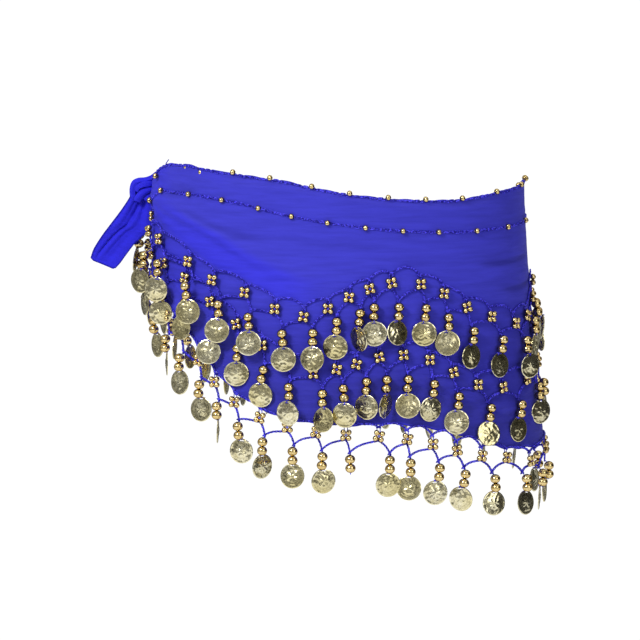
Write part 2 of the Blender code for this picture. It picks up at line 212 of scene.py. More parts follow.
# How the coins of the front half hang: the way that each faces, away from straight ahead and
# towards +X, how far its string leans towards +X, and how far its lower rim tips forward
Hang = namedtuple("Hang", "faces leans tips")
COIN_HANGS = {
    "upper": (
        (-40, 13, 4), (-22, 13, 5), (-12, 9, -3), (-8, 7, -3), (0, 6, -2), (2, 5, 3), (-21, 1, -3),
        (-10, -3, 3), (-50, -5, 9), (4, -3, 3), (36, -6, -8), (6, -6, 3), (0, -8, -6), (42, -9, 1),
        (44, -13, -2), (40, -10, 4), (70, -5, 5), (82, -5, 0),
    ),
    "middle": (
        (-70, 0, 0), (-18, 1, 5), (-41, -2, -7), (-8, 3, -4), (0, 1, 4), (-18, -5, 4), (-31, 0, 6),
        (-38, 3, -8), (-15, 2, 4), (-24, -1, 3), (60, -7, 8), (5, -9, -4), (31, -8, 4), (2, -10, 1),
        (24, -11, -9), (46, -9, -1), (39, -5, 3), (76, -3, 3),
    ),
    "low": (
        (-60, -2, 0), (-86, -8, 0), (-44, -11, -3), (-33, -1, -3), (88, -3, 2), (-22, 5, 2),
        (40, -5, 4), (-18, -3, -5), (18, 3, 4), (0, 0, 0), (10, -3, 6), (-6, -3, -4), (13, -6, 3),
        (-24, -6, 6), (26, 5, -3), (48, 12, -3), (84, 4, 3), (78, 2, 0),
    ),
}

# The small gold beads along the top edge and the stitched line below it, on the front half
TOP_BEADS = (56.6, 69.1, 82, 93.3, 105, 117, 130.3, 146.3, 165.7, 176)
# Angle, height and how far out: one on the roll by the knot, and two that show only faintly
# through the cloth
PLACED_BEADS = ((16.6, 7.6, 2.4), (35.7, 17.0, 0.7 - SMALL_BEAD), (43, 13.2, 0.7 - SMALL_BEAD))
LINE_BEADS = (21.2, 38.2, 52.6, 65.4, 75.9, 86.7, 98, 109.4, 121.2, 135.8, 152.3, 170)
# The stitched line turns down the scarf's end beside the knot: angle and height of its corners
LINE_START = 19.9
LINE_END = ((21.2, -4), (15, -9), (10, -15), (10.5, -25), (12.5, -31))
LINE_END_BEADS = (0.42, 0.72, 0.86)
# The worked edge: how far apart its turns lie, how high they are, and where it ends
EDGING_STEP = 3.0
ZIGZAG = 0.55
EDGING_ENDS = 179.4
# How far out the edging, the line's end and their beads lie
EDGING_OUT = 0.35
LINE_END_OUT = 0.4
TOP_BEAD_OUT = 1.3
LINE_BEAD_OUT = 1.7
LINE_END_BEAD_OUT = 1.8
TOP_BEAD_UP = 0.9

# The long end, from the knot down: its two edges as (x, z), and how far its middle lies forward
EndRow = namedtuple("EndRow", "outer_x outer_z inner_x inner_z y")
LONG_END = (
    EndRow(-166.5, -3, -152.2, -4, -2.4),
    EndRow(-170.0, -11, -152.4, -15, -3.0),
    EndRow(-176.5, -21, -153.2, -28, -4.2),
    EndRow(-184.0, -31, -153.8, -37.5, -5.2),
    EndRow(-188.6, -37, -160.2, -42, -5.2),
    EndRow(-193.0, -43, -166.5, -50, -5.0),
    EndRow(-199.8, -54, -174.0, -60, -4.2),
    EndRow(-202.2, -62.5, -181.6, -71, -3.5),
)
LONG_END_GRID = (72, 54)
LONG_END_CUT = (40, 90)
# How much of its width turns back behind it along the inner edge
TURNED_BACK = 0.22
# Its creases: (share across, share down) where each begins and ends, then width and height
Crease = namedtuple("Crease", "across0 down0 across1 down1 width rise")
LONG_END_CREASES = (
    Crease(0.52, 0.08, 0.40, 0.42, 0.13, -1.9), Crease(0.42, 0.36, 0.17, 0.99, 0.08, -2.6),
    Crease(0.56, 0.30, 0.30, 1.00, 0.12, 1.5), Crease(0.22, 0.05, 0.14, 0.60, 0.12, 1.1),
    Crease(0.72, 0.00, 0.70, 0.45, 0.14, -1.2), Crease(0.90, 0.05, 0.86, 0.62, 0.12, 0.8),
    Crease(0.74, 0.55, 0.60, 1.00, 0.16, -0.7),
)
# The short end, from the knot down: its middle and half its width
EndSlice = namedtuple("EndSlice", "x z half_width y")
SHORT_END = (
    EndSlice(-164.3, -4, 4.5, 4.0),
    EndSlice(-166.0, -18, 6.5, 6.0),
    EndSlice(-169.0, -32, 9.5, 9.0),
    EndSlice(-171.0, -44, 11.0, 11.5),
    EndSlice(-172.0, -55, 11.5, 13.0),
)
SHORT_END_GRID = (40, 24)
SHORT_END_CUT = (24, 60)

KNOT_CENTRE = Vector((-159.3, -1.1, -3.0))
ROLL_SIDES = 20


@lru_cache(maxsize=None)
def smooth_value(column, angle):
    """A column of SECTIONS at any angle from 0 to 180, on a smooth curve."""
    last = len(SECTIONS) - 1
    i = next((k for k in range(last) if angle <= SECTIONS[k + 1].angle), last - 1)

    def entry(k):
        section = SECTIONS[min(max(k, 0), last)]
        return section.angle, getattr(section, column)

    def slope(k):
        (a0, v0), (a1, v1) = entry(k - 1), entry(k + 1)
        return (v1 - v0) / (a1 - a0) if 0 < k < last else 0.0

    (a0, v0), (a1, v1) = entry(i), entry(i + 1)
    span = a1 - a0
    t = (angle - a0) / span
    rise = t * t * (3 - 2 * t)
    enter = t * (1 - t) ** 2 * span * slope(i)
    leave = t * t * (t - 1) * span * slope(i + 1)
    return v0 + (v1 - v0) * rise + enter + leave


def folded(angle):
    """The angle on the front half that this one mirrors."""
    return angle if angle <= 180 else 360 - angle


@lru_cache(maxsize=None)
def height(line, angle):
    """The height of one of the cloth's lines, all the way round."""
    front = folded(angle)
    level = smooth_value(line, front)
    if angle <= 180:
        return level
    rise, start = BACK_RISES[line]
    t = min(max((front - start) / BACK_EASES, 0.0), (180 - front) / BACK_EASES, 1.0)
    return level + rise * t * t * (3 - 2 * t)


def half_sizes(z):
    """Half the width and half the depth of the figure at a height."""
    grown = max(-z / GROWTH_HEIGHT, 0.0) ** GROWTH_POWER
    return HALF_WIDTH_TOP + HALF_WIDTH_GROWTH * grown, HALF_DEPTH_TOP + HALF_DEPTH_GROWTH * grown


def frame_at(angle, z):
    """A point of the cloth's outer face, and the directions along and out of it.

    Below the hem the face goes straight down.
    """
    a, b = half_sizes(max(z, height("hem", angle)))
    c, s = math.cos(math.radians(angle)), math.sin(math.radians(angle))
    along = Vector((a * s, -b * c, 0)).normalized()
    return Vector((-a * c, -b * s, z)), along, Vector((-c / a, -s / b, 0)).normalized()


def mm_per_degree(angle, z):
    """How far a degree reaches along the cloth."""
    a, b = half_sizes(z)
    c, s = math.cos(math.radians(angle)), math.sin(math.radians(angle))
    return math.radians(math.hypot(a * s, b * c))


def ease(low, high, value):
    """0 below low, 1 above high, and a soft step between them."""
    t = min(max((value - low) / (high - low), 0.0), 1.0)
    return t * t * (3 - 2 * t)


def hump(distance, half_width):
    """1 in the middle of a soft ridge and 0 at its foot."""
    return ease(0.0, 1.0, 1.0 - abs(distance) / half_width)


# The main creases of the cloth: angle and height at both ends, half width and rise
Fold = namedtuple("Fold", "angle0 z0 angle1 z1 half_width rise")
FOLDS = [Fold(*row) for row in (
    (9, -14, 34, -34, 5.0, 0.8), (8, -20, 30, -46, 4.5, -0.7), (10, -28, 26, -60, 4.0, 0.7),
    (14, 2, 40, 6, 4.0, 0.8), (12, -6, 48, 0, 5.0, -0.7), (30, -14, 74, -44, 7.0, -0.8),
    (58, -22, 96, -40, 5.0, 0.5), (70, -36, 112, -48, 6.0, -0.5), (84, -12, 124, -19, 4.5, 0.5),
    (96, -40, 140, -52, 6.0, 0.6), (100, -54, 134, -60, 5.0, -0.4), (112, -14, 158, -16, 4.0, 0.6),
    (126, -48, 172, -44, 5.0, 1.5), (132, -60, 178, -56, 4.0, -1.4), (138, -70, 178, -67, 4.5, 1.7),
    (146, -82, 180, -76, 4.0, -1.4), (142, -90, 172, -92, 4.5, 1.3),
    (150, -104, 180, -98, 4.0, -1.1), (133, -186, 158, -170, 4.0, 1.3),
    (137, -192, 166, -182, 3.6, -1.1), (126, -176, 148, -160, 4.0, -0.9),
    (150, -168, 178, -150, 5.0, 1.5), (150, -128, 180, -120, 5.0, 1.2),
    (118, -172, 134, -188, 4.0, 0.8), (96, -150, 118, -158, 5.0, -0.6),
    (84, -158, 104, -172, 5.0, 0.6), (60, -118, 78, -146, 5.0, 0.7), (46, -84, 62, -112, 5.0, -0.7),
    (26, -66, 44, -92, 4.0, 0.8), (20, -70, 36, -98, 3.5, -0.7), (68, -150, 80, -172, 4.0, -0.6),
    (104, -100, 128, -112, 5.0, 0.5), (86, -108, 104, -104, 5.0, -0.4),
)]


def crease_height(angle, z):
    """How far the listed creases move the cloth out, at an angle on the front half."""
    total = 0.0
    for f in FOLDS:
        if not f.angle0 - 3 < angle < f.angle1 + 3:
            continue
        t = (angle - f.angle0) / (f.angle1 - f.angle0)
        sag = 2.5 * math.sin(math.pi * min(max(t, 0.0), 1.0))
        middle = f.z0 + (f.z1 - f.z0) * t - sag
        ends = ease(-0.05, 0.3, t) * ease(-0.05, 0.35, 1 - t)
        total += f.rise * ends * hump(z - middle, f.half_width)
    return total


def as_in_front(angle, z):
    """The height on the front half that answers to a height at any angle, between the same lines."""
    if angle <= 180:
        return z
    front = folded(angle)
    lines = ("top", "bead_line", "upper", "middle", "hem")
    levels = [(height(line, angle), height(line, front)) for line in lines]
    for (high, high_front), (low, low_front) in zip(levels, levels[1:]):
        if z >= low or low == levels[-1][0]:
            break
    return low_front + (high_front - low_front) * (z - low) / (high - low)


def relief(angle, z):
    """How far the cloth's outer face stands out from the figure here."""
    front = folded(angle)
    z = max(as_in_front(angle, z), height("hem", front))
    from_fold = z - height("fold", front)
    reach = FOLD_ABOVE if from_fold > 0 else FOLD_BELOW
    raised = smooth_value("fold_height", front) * ease(0.0, 1.0, 1.0 - abs(from_fold) / reach)
    # The back has softer creases of its own, from just past the scarf's middle
    own = ease(180.0, 200.0, angle)
    side = 1.0 - BACK_SOFTER * own
    ripple = noise.noise(Vector((angle * 0.05, z * 0.16, 3.0 + 6.0 * own)))
    quiet = ease(0.0, 9.0, height("top", front) - z)
    return raised + side * crease_height(front, z) * quiet + RIPPLE * ripple * quiet


def top_edge(angle):
    """The height of the scarf's top edge, which stands up to a corner beside the knot in front."""
    level = height("top", angle)
    for (a0, rise0), (a1, rise1) in zip(TOP_TRIM, TOP_TRIM[1:]):
        if a0 <= angle < a1:
            level += rise0 + (rise1 - rise0) * ease(a0, a1, angle)
    return level


def lie(angle, z, out=0.0, aside=0.0):
    """A point moved out from the creased cloth, and aside along it."""
    angle += aside / mm_per_degree(angle, z)
    point, _, outward = frame_at(angle, z)
    return point + outward * (relief(angle, z) + out)


def outward_at(angle, z):
    """The direction out of the cloth."""
    return frame_at(angle, z)[2]


def doubled(angle, z):
    """How much of a second layer of chiffon lies here, which makes the blue deeper and brighter."""
    front = folded(angle)
    z = as_in_front(angle, z)
    fold = height("fold", front)
    chain = height("upper", front) + 0.7 * PEAK_RISE
    above = ease(fold + 7.0, fold - 2.0, z)
    band = above * ease(5.0, 14.0, front) * ease(91.0, 70.0, front)
    # It is fullest above the chain of the upper net, and thins below that away from the knot
    below = ease(chain - 2.0, chain + 2.0, z)
    rest = 0.45 * ease(60.0, 30.0, front)
    # The top edge is turned in near the knot, and all of the cloth is gathered into the knot
    turned = 0.3 * ease(58.0, 50.0, front) * ease(-9.0, -5.0, z - height("top", front))
    gathered = 0.9 * ease(33.0, 17.0, front)
    return min(1.0, max(band * (below + (1 - below) * rest), turned, gathered))


def painted_shade(angle, z):
    """The painted shade on one layer: low down behind the nets, and in the troughs between its creases.
    """
    front = folded(angle)
    trough = ease(0.0, 1.2, -crease_height(front, as_in_front(angle, z)))
    return 0.9 * ease(-60.0, -185.0, z) + 0.95 * trough


def rolled(distance):
    """1 on a narrow rolled hem and 0 past it."""
    return ease(HEM_ROLL, 0.4 * HEM_ROLL, distance)


def to_linear(code):
    """An sRGB hex colour as linear RGBA."""
    channels = [int(code[i:i + 2], 16) / 255 for i in (1, 3, 5)]
    linear = [c / 12.92 if c <= 0.04045 else ((c + 0.055) / 1.055) ** 2.4 for c in channels]
    return (*linear, 1.0)


def add(tree, kind, values=(), links=(), **settings):
    """A node with its settings, its inputs' values and the sockets linked into it."""
    made = tree.nodes.new(kind)
    for name, value in settings.items():
        setattr(made, name, value)
    for key, value in dict(values).items():
        made.inputs[key].default_value = value
    for key, socket in dict(links).items():
        tree.links.new(socket, made.inputs[key])
    return made


def new_material(name):
    material = bpy.data.materials.new(name)
    material.use_nodes = True
    material.node_tree.nodes.clear()
    return material, material.node_tree


def finish_surface(material, values, links):
    """Ends a material in a surface with these values and links."""
    tree = material.node_tree
    shader = add(tree, "ShaderNodeBsdfPrincipled", values, links)
    add(tree, "ShaderNodeOutputMaterial", links={"Surface": shader.outputs[0]})
    return material


def object_place(tree):
    return add(tree, "ShaderNodeTexCoord").outputs["Object"]


def noise_of(tree, place, scale, detail=2.0, roughness=0.5):
    values = {"Scale": scale, "Detail": detail, "Roughness": roughness}
    return add(tree, "ShaderNodeTexNoise", values, {"Vector": place}).outputs["Fac"]


def remap(tree, value, low, high, to_low=0.0, to_high=1.0):
    """A value drawn from one range into another."""
    ranges = {"From Min": low, "From Max": high, "To Min": to_low, "To Max": to_high}
    return add(tree, "ShaderNodeMapRange", ranges, {"Value": value}).outputs["Result"]


def bump_of(tree, raised, strength, distance, **under):
    """The normal over a relief, and over another normal where one is given."""
    values = {"Strength": strength, "Distance": distance}
    return add(tree, "ShaderNodeBump", values, {"Height": raised, **under}).outputs["Normal"]


def attribute(tree, name):
    return add(tree, "ShaderNodeAttribute", attribute_name=name).outputs["Fac"]


def colour_mix(tree, factor, low, high, blend="MIX"):
    """A colour node between two colours, which are hex codes or sockets."""
    node = add(tree, "ShaderNodeMix", data_type="RGBA", blend_type=blend)
    # A mix node has sockets for numbers and vectors too, so its colours are found by their index
    for index, value in ((0, factor), (6, low), (7, high)):
        if isinstance(value, bpy.types.NodeSocket):
            tree.links.new(value, node.inputs[index])
        else:
            node.inputs[index].default_value = to_linear(value) if isinstance(value, str) else value
    return node.outputs[2]


def chiffon_material(name, tones, alpha):
    """Sheer polyester chiffon, piece dyed royal blue and crinkled.

    From one layer in painted shade, over one in the light and then two, which are brighter, to the
    rolled hem, whose many plies are the darkest.
    """
    material, tree = new_material(name)
    place = add(tree, "ShaderNodeUVMap", uv_map="cloth_mm").outputs["UV"]
    ramp = add(tree, "ShaderNodeValToRGB", links={"Fac": attribute(tree, "layers")})
    stops = ramp.color_ramp.elements
    stops[0].color, stops[1].color = to_linear(tones[0]), to_linear(tones[3])
    stops.new(0.25).color, stops.new(0.5).color = to_linear(tones[1]), to_linear(tones[2])
    # Crinkles run along the cloth, about 40 mm long and 4 mm apart
    stretched = add(tree, "ShaderNodeMapping", {"Scale": (0.025, 0.25, 1.0)}, {"Vector": place})
    crinkle = noise_of(tree, stretched.outputs["Vector"], 1.0, 3.0, 0.55)
    # The colour is painted darker in the crinkles' troughs and lighter on their ridges, as shade and
    # light
    shade = remap(tree, crinkle, 0.35, 0.68, 0.9, 1.06)
    crinkle_shaded = colour_mix(tree, 1.0, ramp.outputs["Color"], shade, "MULTIPLY")
    # The real weave is about 0.2 mm, drawn at 0.9 mm so that it shows
    weave = add(tree, "ShaderNodeTexChecker", {"Scale": 1.1}, {"Vector": place})
    woven = bump_of(tree, weave.outputs["Fac"], 0.1, 0.00008)
    surface = {"Roughness": 0.85, "Specular IOR Level": 0.12, "Alpha": alpha}
    sheen = {"Sheen Weight": 0.06, "Sheen Roughness": 0.4}
    crinkled = bump_of(tree, crinkle, 0.8, 0.001, Normal=woven)
    return finish_surface(material, {**surface, **sheen}, {"Base Color": crinkle_shaded, "Normal": crinkled})


def yarn_material():
    """Mercerised crochet yarn, dyed royal blue, with shade painted deep between the plies and a
    highlight bright on them.
    """
    material, tree = new_material("mercerised crochet yarn")
    plies = noise_of(tree, object_place(tree), 700.0)
    # Painted shade between the plies and a painted highlight on them
    blue = colour_mix(tree, remap(tree, plies, 0.44, 0.58), "#140D92", "#554EF8")
    links = {"Base Color": blue, "Normal": bump_of(tree, plies, 0.6, 0.0003)}
    return finish_surface(material, {"Roughness": 0.5, "Specular IOR Level": 0.3}, links)


def bead_material():
    """Metallised beads with a pale gold plating: polished, and painted dark brown in the hole and round
    its mouth, as shade.
    """
    material, tree = new_material("gold plated bead")
    patches = noise_of(tree, object_place(tree), 180.0, 3.0)
    gold = colour_mix(tree, patches, "#EFDCA4", "#C4A562")
    # The hole and its mouth are painted dark brown, as shade
    painted_hole_shade = colour_mix(tree, attribute(tree, "hollow"), gold, "#4A300E")
    links = {"Base Color": painted_hole_shade, "Roughness": remap(tree, patches, 0.0, 1.0, 0.06, 0.15)}
    return finish_surface(material, {"Metallic": 1.0, "Specular Tint": to_linear("#8A5A24")}, links)


def coin_material():
    """Thin stamped steel with a champagne plating, from silvery to olive, and dark in the hollows."""
    material, tree = new_material("champagne plated stamped coin")
    place = object_place(tree)
    # Slow changes give each coin a tone of its own
    tone = remap(tree, noise_of(tree, place, 26.0, 1.0), 0.38, 0.62)
    tarnish = noise_of(tree, place, 300.0, 4.0)
    dents = noise_of(tree, place, 190.0, 1.0)
    plate = colour_mix(tree, tone, "#F1EED9", "#DDD3A4")
    dulled = colour_mix(tree, tarnish, plate, "#C7BB84")
    toned = colour_mix(tree, attribute(tree, "hollow"), dulled, "#6C5E36")
    links = {
        "Base Color": toned, "Roughness": remap(tree, tarnish, 0.0, 1.0, 0.1, 0.3),
        "Normal": bump_of(tree, dents, 0.55, 0.0016),
    }
    return finish_surface(material, {"Metallic": 1.0}, links)


def paper_material():
    """Matt white studio paper."""
    material, tree = new_material("white studio paper")
    white = colour_mix(tree, noise_of(tree, object_place(tree), 40.0), "#FCFCFC", "#FFFFFF")
    return finish_surface(material, {"Roughness": 0.9}, {"Base Color": white})


def put(name, mesh):
    made = bpy.data.objects.new(name, mesh)
    bpy.context.scene.collection.objects.link(made)
    return made


def new_mesh(name, points, edges=(), faces=()):
    """A mesh in metres from points in millimetres."""
    mesh = bpy.data.meshes.new(name)
    mesh.from_pydata([Vector(p) * MM for p in points], edges, faces)
    return mesh


def write_values(mesh, name, values):
    mesh.attributes.new(name, "FLOAT", "POINT").data.foreach_set("value", values)


def write_vectors(mesh, name, vectors):
    flat = [value for vector in vectors for value in vector]
    mesh.attributes.new(name, "FLOAT_VECTOR", "POINT").data.foreach_set("vector", flat)


def mark_cloth(mesh, places, layers, material):
    """Gives a cloth mesh its places in the cut, its layering and painted shade, and its material."""
    uv = mesh.uv_layers.new(name="cloth_mm")
    for loop in mesh.loops:
        uv.data[loop.index].uv = places[loop.vertex_index]
    write_values(mesh, "layers", layers)
    mesh.shade_smooth()
    mesh.materials.append(material)


def cloth_piece(name, rows, columns, cell, reverse, material, thick):
    """A thin closed shell on a grid.

    For a row and a column, cell gives the point, its place in the cut and its layering and painted
    shade.
    """
    order = range(columns, -1, -1) if reverse else range(columns + 1)
    points, places, layers = zip(*[cell(r, c) for r in range(rows + 1) for c in order])
    wide = columns + 1
    corners = [r * wide + c for r in range(rows) for c in range(columns)]
    mesh = new_mesh(name, points, faces=[(k, k + 1, k + wide + 1, k + wide) for k in corners])
    mark_cloth(mesh, places, layers, material)
    made = put(name, mesh)
    wall = made.modifiers.new("thickness", "SOLIDIFY")
    wall.thickness = thick * MM
    wall.offset = -1.0
    wall.use_even_offset = True
    return made


def chiffon_stretch(name, back, material):
    """Half of the scarf's length, from its end beside the knot to its middle."""
    middle = 180 - 0.5 * SEAM / mm_per_degree(180, 0)
    starts = tuple(EDGE_ANGLES.values())

    def wave(front, kind, from_edge):
        high, degrees, reach = kind
        return high * math.sin(math.radians(front * 360 / degrees)) * ease(reach, 0.0, from_edge)

    def cell(r, c):
        v = r / CHIFFON_ROWS
        start = spread(starts, v)
        front = start + (middle - start) * c / CHIFFON_COLUMNS
        angle = 360 - front if back else front
        top, hem = top_edge(angle), height("hem", angle)
        z = top + (hem - top) * v
        scallop = wave(front, TOP_WAVE, top - z)
        pulled = wave(front, HEM_WAVE, z - hem)
        from_end = (front - start) * mm_per_degree(front, z)
        rim = max(rolled(top - z), rolled(z - hem), rolled(from_end))
        # One layer is painted darker where it is in shade, and a second layer makes the blue deeper
        layers = 0.25 * (1 - painted_shade(angle, z) + doubled(angle, z))
        point = lie(angle, z + scallop + pulled, HEM_RISE * rim)
        return point, (front * mm_per_degree(90, z), z), max(0.0, layers, 0.9 * rim)

    return cloth_piece(name, CHIFFON_ROWS, CHIFFON_COLUMNS, cell, not back, material, CHIFFON_THICK)


def step_of(table, share):
    """Which step of a table a share of its length falls in, and the share of that step."""
    at = share * (len(table) - 1)
    k = min(int(at), len(table) - 2)
    return k, at - k


def spread(values, share):
    """A value at a share of the way along a table."""
    k, f = step_of(values, share)
    return values[k] + (values[k + 1] - values[k]) * f


def through(p0, p1, p2, p3, f):
    """The curve that runs through four points, at a share of the way from the second to the third."""
    return 0.5 * (
        2 * p1 + (p2 - p0) * f + (2 * p0 - 5 * p1 + 4 * p2 - p3) * f ** 2
        + (3 * p1 - p0 - 3 * p2 + p3) * f ** 3
    )


def across_row(row, t):
    return (
        row.outer_x + (row.inner_x - row.outer_x) * t,
        row.outer_z + (row.inner_z - row.outer_z) * t,
    )


def between_rows(table, down, t):
    """A point of the long end's plane at shares down and across it, on smooth edges."""
    k, f = step_of(table, down)
    rows = [table[min(max(j, 0), len(table) - 1)] for j in range(k - 1, k + 3)]
    points = [(*across_row(row, t), row.y) for row in rows]
    return [through(*four, f) for four in zip(*points)]


def end_creases(down, t):
    """How far the creases of the long end move it back."""
    total = 0.0
    for crease in LONG_END_CREASES:
        share = (down - crease.down0) / (crease.down1 - crease.down0)
        if not 0 < share < 1:
            continue
        middle = crease.across0 + (crease.across1 - crease.across0) * share
        ends = ease(0.0, 0.2, share) * ease(0.0, 0.35, 1 - share)
        total += crease.rise * hump(t - middle, crease.width) * ends
    return total


def long_end(material):
    """The end that hangs to the side of the knot, gathered at the top and creased down its length."""
    rows, columns = LONG_END_GRID

    def cell(r, c):
        down = r / rows
        turned_share = TURNED_BACK * ease(0.72, 0.4, down)
        t = (1 + turned_share) * c / columns
        x, z, y = between_rows(LONG_END, down, min(t, 1.0))
        behind = max(t - 1.0, 0.0) / TURNED_BACK
        edge = min(t, 1 - t if turned_share < 0.02 else 1.0)
        rim = ease(0.05, 0.01, min(edge, 1.6 * (1 - down)))
        corner = ease(0.12, 0.0, min(t, max(1 - t, 0.0))) * ease(0.1, 0.0, 1 - down)
        gather = 0.5 * math.sin(9 * math.pi * t + 3 * down) * ease(0.4, 0.0, down)
        bulge = 1.6 * math.sin(math.pi * min(t, 1.0)) ** 2
        out = bulge - end_creases(down, t) + gather - 0.5 * rim
        point = (x + 3.4 * behind, y + out + 9.0 * behind, z + 1.5 * corner)
        place = LONG_END_CUT[0] * t, LONG_END_CUT[1] * down
        # The rolled rim is darker for its many plies, and the strip turned back behind is painted
        # darker, as shade
        return Vector(point), place, TWO_LAYERS + 0.45 * rim + 0.15 * behind

    return cloth_piece("long_end", rows, columns, cell, False, material, TIE_THICK)


def short_end(material):
    """The other end, which lies flat over the hidden side below the knot."""
    rows, columns = SHORT_END_GRID

    def cell(r, c):
        down, t = r / rows, c / columns
        x, z, half, middle = (spread(column, down) for column in zip(*SHORT_END))
        side = 2 * t - 1
        pleat = 1.1 * math.sin(3 * math.pi * t) * (1 - 0.5 * down)
        out = 1.2 * (1 - side * side)
        point = (x - out - pleat, middle + half * side, z + 0.15 * half * side)
        return Vector(point), (SHORT_END_CUT[0] * t, SHORT_END_CUT[1] * down), TWO_LAYERS

    return cloth_piece("short_end", rows, columns, cell, True, material, TIE_THICK)


def swept_roll(name, path, roll, out_from):
    """A gathered band of cloth along a path of points, as one closed soft roll."""
    sides = ROLL_SIDES
    smooth = smooth_path(path, 8)
    count = len(smooth)
    points, faces = [], []
    for i, p in enumerate(smooth):
        before, after = smooth[max(i - 1, 0)], smooth[min(i + 1, count - 1)]
        along = (after - before).normalized()
        out = p - out_from
        out = (out - along * out.dot(along)).normalized()
        across = along.cross(out)
        share = i / (count - 1)
        half = spread(roll.widths, share)
        for k in range(sides):
            turn = 2 * math.pi * k / sides
            wave = 1 + 0.13 * math.cos(roll.gathers * turn + 2.6 * share)
            round_out = roll.thick * min(1.0, half / 2.0) * math.sin(turn)
            points.append(p + (across * half * math.cos(turn) + out * round_out) * wave)
    for i in range(count - 1):
        for k in range(sides):
            j = (k + 1) % sides
            faces.append((i * sides + k, i * sides + j, (i + 1) * sides + j, (i + 1) * sides + k))
    faces.append(tuple(range(sides))[::-1])
    faces.append(tuple((count - 1) * sides + k for k in range(sides)))
    mesh = new_mesh(name, points, faces=faces)
    face_outward(mesh)
    return mesh


def face_outward(mesh):
    bm = bmesh.new()
    bm.from_mesh(mesh)
    bmesh.ops.recalc_face_normals(bm, faces=bm.faces)
    bm.to_mesh(mesh)
    bm.free()


def smooth_path(points, steps):
    """Points on a smooth curve through the given ones."""
    points = [Vector(p) for p in points]
    last = len(points) - 1
    out = []
    for k in range(last):
        four = points[max(k - 1, 0)], points[k], points[k + 1], points[min(k + 2, last)]
        out += [through(*four, i / steps) for i in range(steps)]
    out.append(points[-1])
    return out


# The rolls of the knot, as points beside, in front of and above its middle, with their half widths,
# then how thick and how gathered each is
Roll = namedtuple("Roll", "path widths thick gathers")
KNOT_ROLLS = (
    Roll(((0, -3, 3), (-1, 0, -1), (-2, 1, -9)), (4.5, 6.0, 6.0), 5.0, 4),
    Roll(((21, -28, 15), (18.5, -20, 14.4), (15, -14, 12.8), (11.5, -9.5, 10.6), (7, -7.5, 7.4),
          (2, -6.8, 5.6), (-3, -6.4, 5), (-6.6, -5.4, 3), (-8, -4, -1.5), (-8, -2.5, -6),
          (-7.5, -1, -11)),
         (0.6, 1.5, 2.1, 2.3, 2.5, 2.8, 3.0, 3.0, 3.0, 3.2, 3.2), 2.3, 5),
    Roll(((9.5, -7, 3.6), (5, -9.4, 3.2), (0.5, -10, 2.4), (-3.2, -8.6, 0.4), (-4.6, -6.5, -3)),
         (1.8, 2.3, 2.5, 2.3, 1.8), 1.8, 4),
    Roll(((9.5, -6, -1.2), (5.5, -8.4, -1.6), (1, -9.2, -3.8), (-2.5, -8.2, -7), (-5, -6.8, -11)),
         (1.8, 2.5, 2.8, 2.9, 3.0), 1.8, 3),
    Roll(((7.5, -5, -6), (5, -6.6, -7.5), (3, -6.6, -11)), (1.8, 2.2, 2.6), 1.6, 3),
    Roll(((7, 3, 1), (4, 7, 4), (-2, 8.5, 4), (-6.5, 6, 0), (-6.5, 4, -6), (-5, 4, -11)),
         (2.6, 3.4, 3.8, 3.6, 3.2, 3.0), 2.4, 5),
)
# A loose end of thread at the corner of the top edge
LOOSE_THREAD = ((18.2, -30, 17.0), (19.6, -30, 19.6), (20.2, -30, 21.2), (22.2, -30, 24.0))


def knot(material):
    """The knot: gathered rolls of chiffon wound over each other."""
    bm = bmesh.new()
    for n, roll in enumerate(KNOT_ROLLS):
        placed = [KNOT_CENTRE + Vector(p) for p in roll.path]
        centre = KNOT_CENTRE + Vector((2, 4, -3))
        mesh = swept_roll(f"roll_{n}", placed, roll, centre)
        bm.from_mesh(mesh)
        bpy.data.meshes.remove(mesh)
    mesh = bpy.data.meshes.new("knot_rolls")
    bm.to_mesh(mesh)
    bm.free()
    spots = [v.co / MM for v in mesh.vertices]
    mark_cloth(mesh, [(p.x + p.y, p.z) for p in spots], [TWO_LAYERS] * len(spots), material)
    made = put("knot_rolls", mesh)
    finer = made.modifiers.new("rounding", "SUBSURF")
    finer.levels = finer.render_levels = 1
    return made


def geometry_tree(name, **inputs):
    """A Geometry Nodes tree with its named inputs, and its input node."""
    tree = bpy.data.node_groups.new(name, "GeometryNodeTree")
    for socket, kind in {"Geometry": "Geometry", **inputs, "Material": "Material"}.items():
        tree.interface.new_socket(socket, in_out="INPUT", socket_type=f"NodeSocket{kind}")
    tree.interface.new_socket("Geometry", in_out="OUTPUT", socket_type="NodeSocketGeometry")
    return tree, tree.nodes.new("NodeGroupInput")


def close_tree(tree, given, geometry):
    """Ends a tree in plain mesh with its material."""
    real = add(tree, "GeometryNodeRealizeInstances", links={"Geometry": geometry})
    links = {"Geometry": real.outputs[0], "Material": given.outputs["Material"]}
    dressed = add(tree, "GeometryNodeSetMaterial", links=links)
    add(tree, "NodeGroupOutput", links={0: dressed.outputs[0]})
    return tree


def shape_of(tree, given, name):
    """The geometry of the object that a named input holds."""
    links = {"Object": given.outputs[name]}
    made = add(tree, "GeometryNodeObjectInfo", links=links, transform_space="ORIGINAL")
    return made.outputs["Geometry"]


def vector_named(tree, name):
    kind = "GeometryNodeInputNamedAttribute"
    return add(tree, kind, {"Name": name}, data_type="FLOAT_VECTOR").outputs[0]


def curves_of(tree, given):
    return add(tree, "GeometryNodeMeshToCurve", links={"Mesh": given.outputs["Geometry"]}).outputs[0]


def beads_tree():
    """Puts one shape on each point, turned as the point's attribute says."""
    tree, given = geometry_tree("shape on each point", Shape="Object", Size="Float")
    rotation = add(tree, "FunctionNodeEulerToRotation", links={0: vector_named(tree, "turned")})
    dots = add(tree, "GeometryNodeMeshToPoints", links={"Mesh": given.outputs["Geometry"]})
    links = {
        "Points": dots.outputs[0], "Instance": shape_of(tree, given, "Shape"),
        "Rotation": rotation.outputs[0], "Scale": given.outputs["Size"],
    }
    placed = add(tree, "GeometryNodeInstanceOnPoints", links=links)
    return close_tree(tree, given, placed.outputs[0])


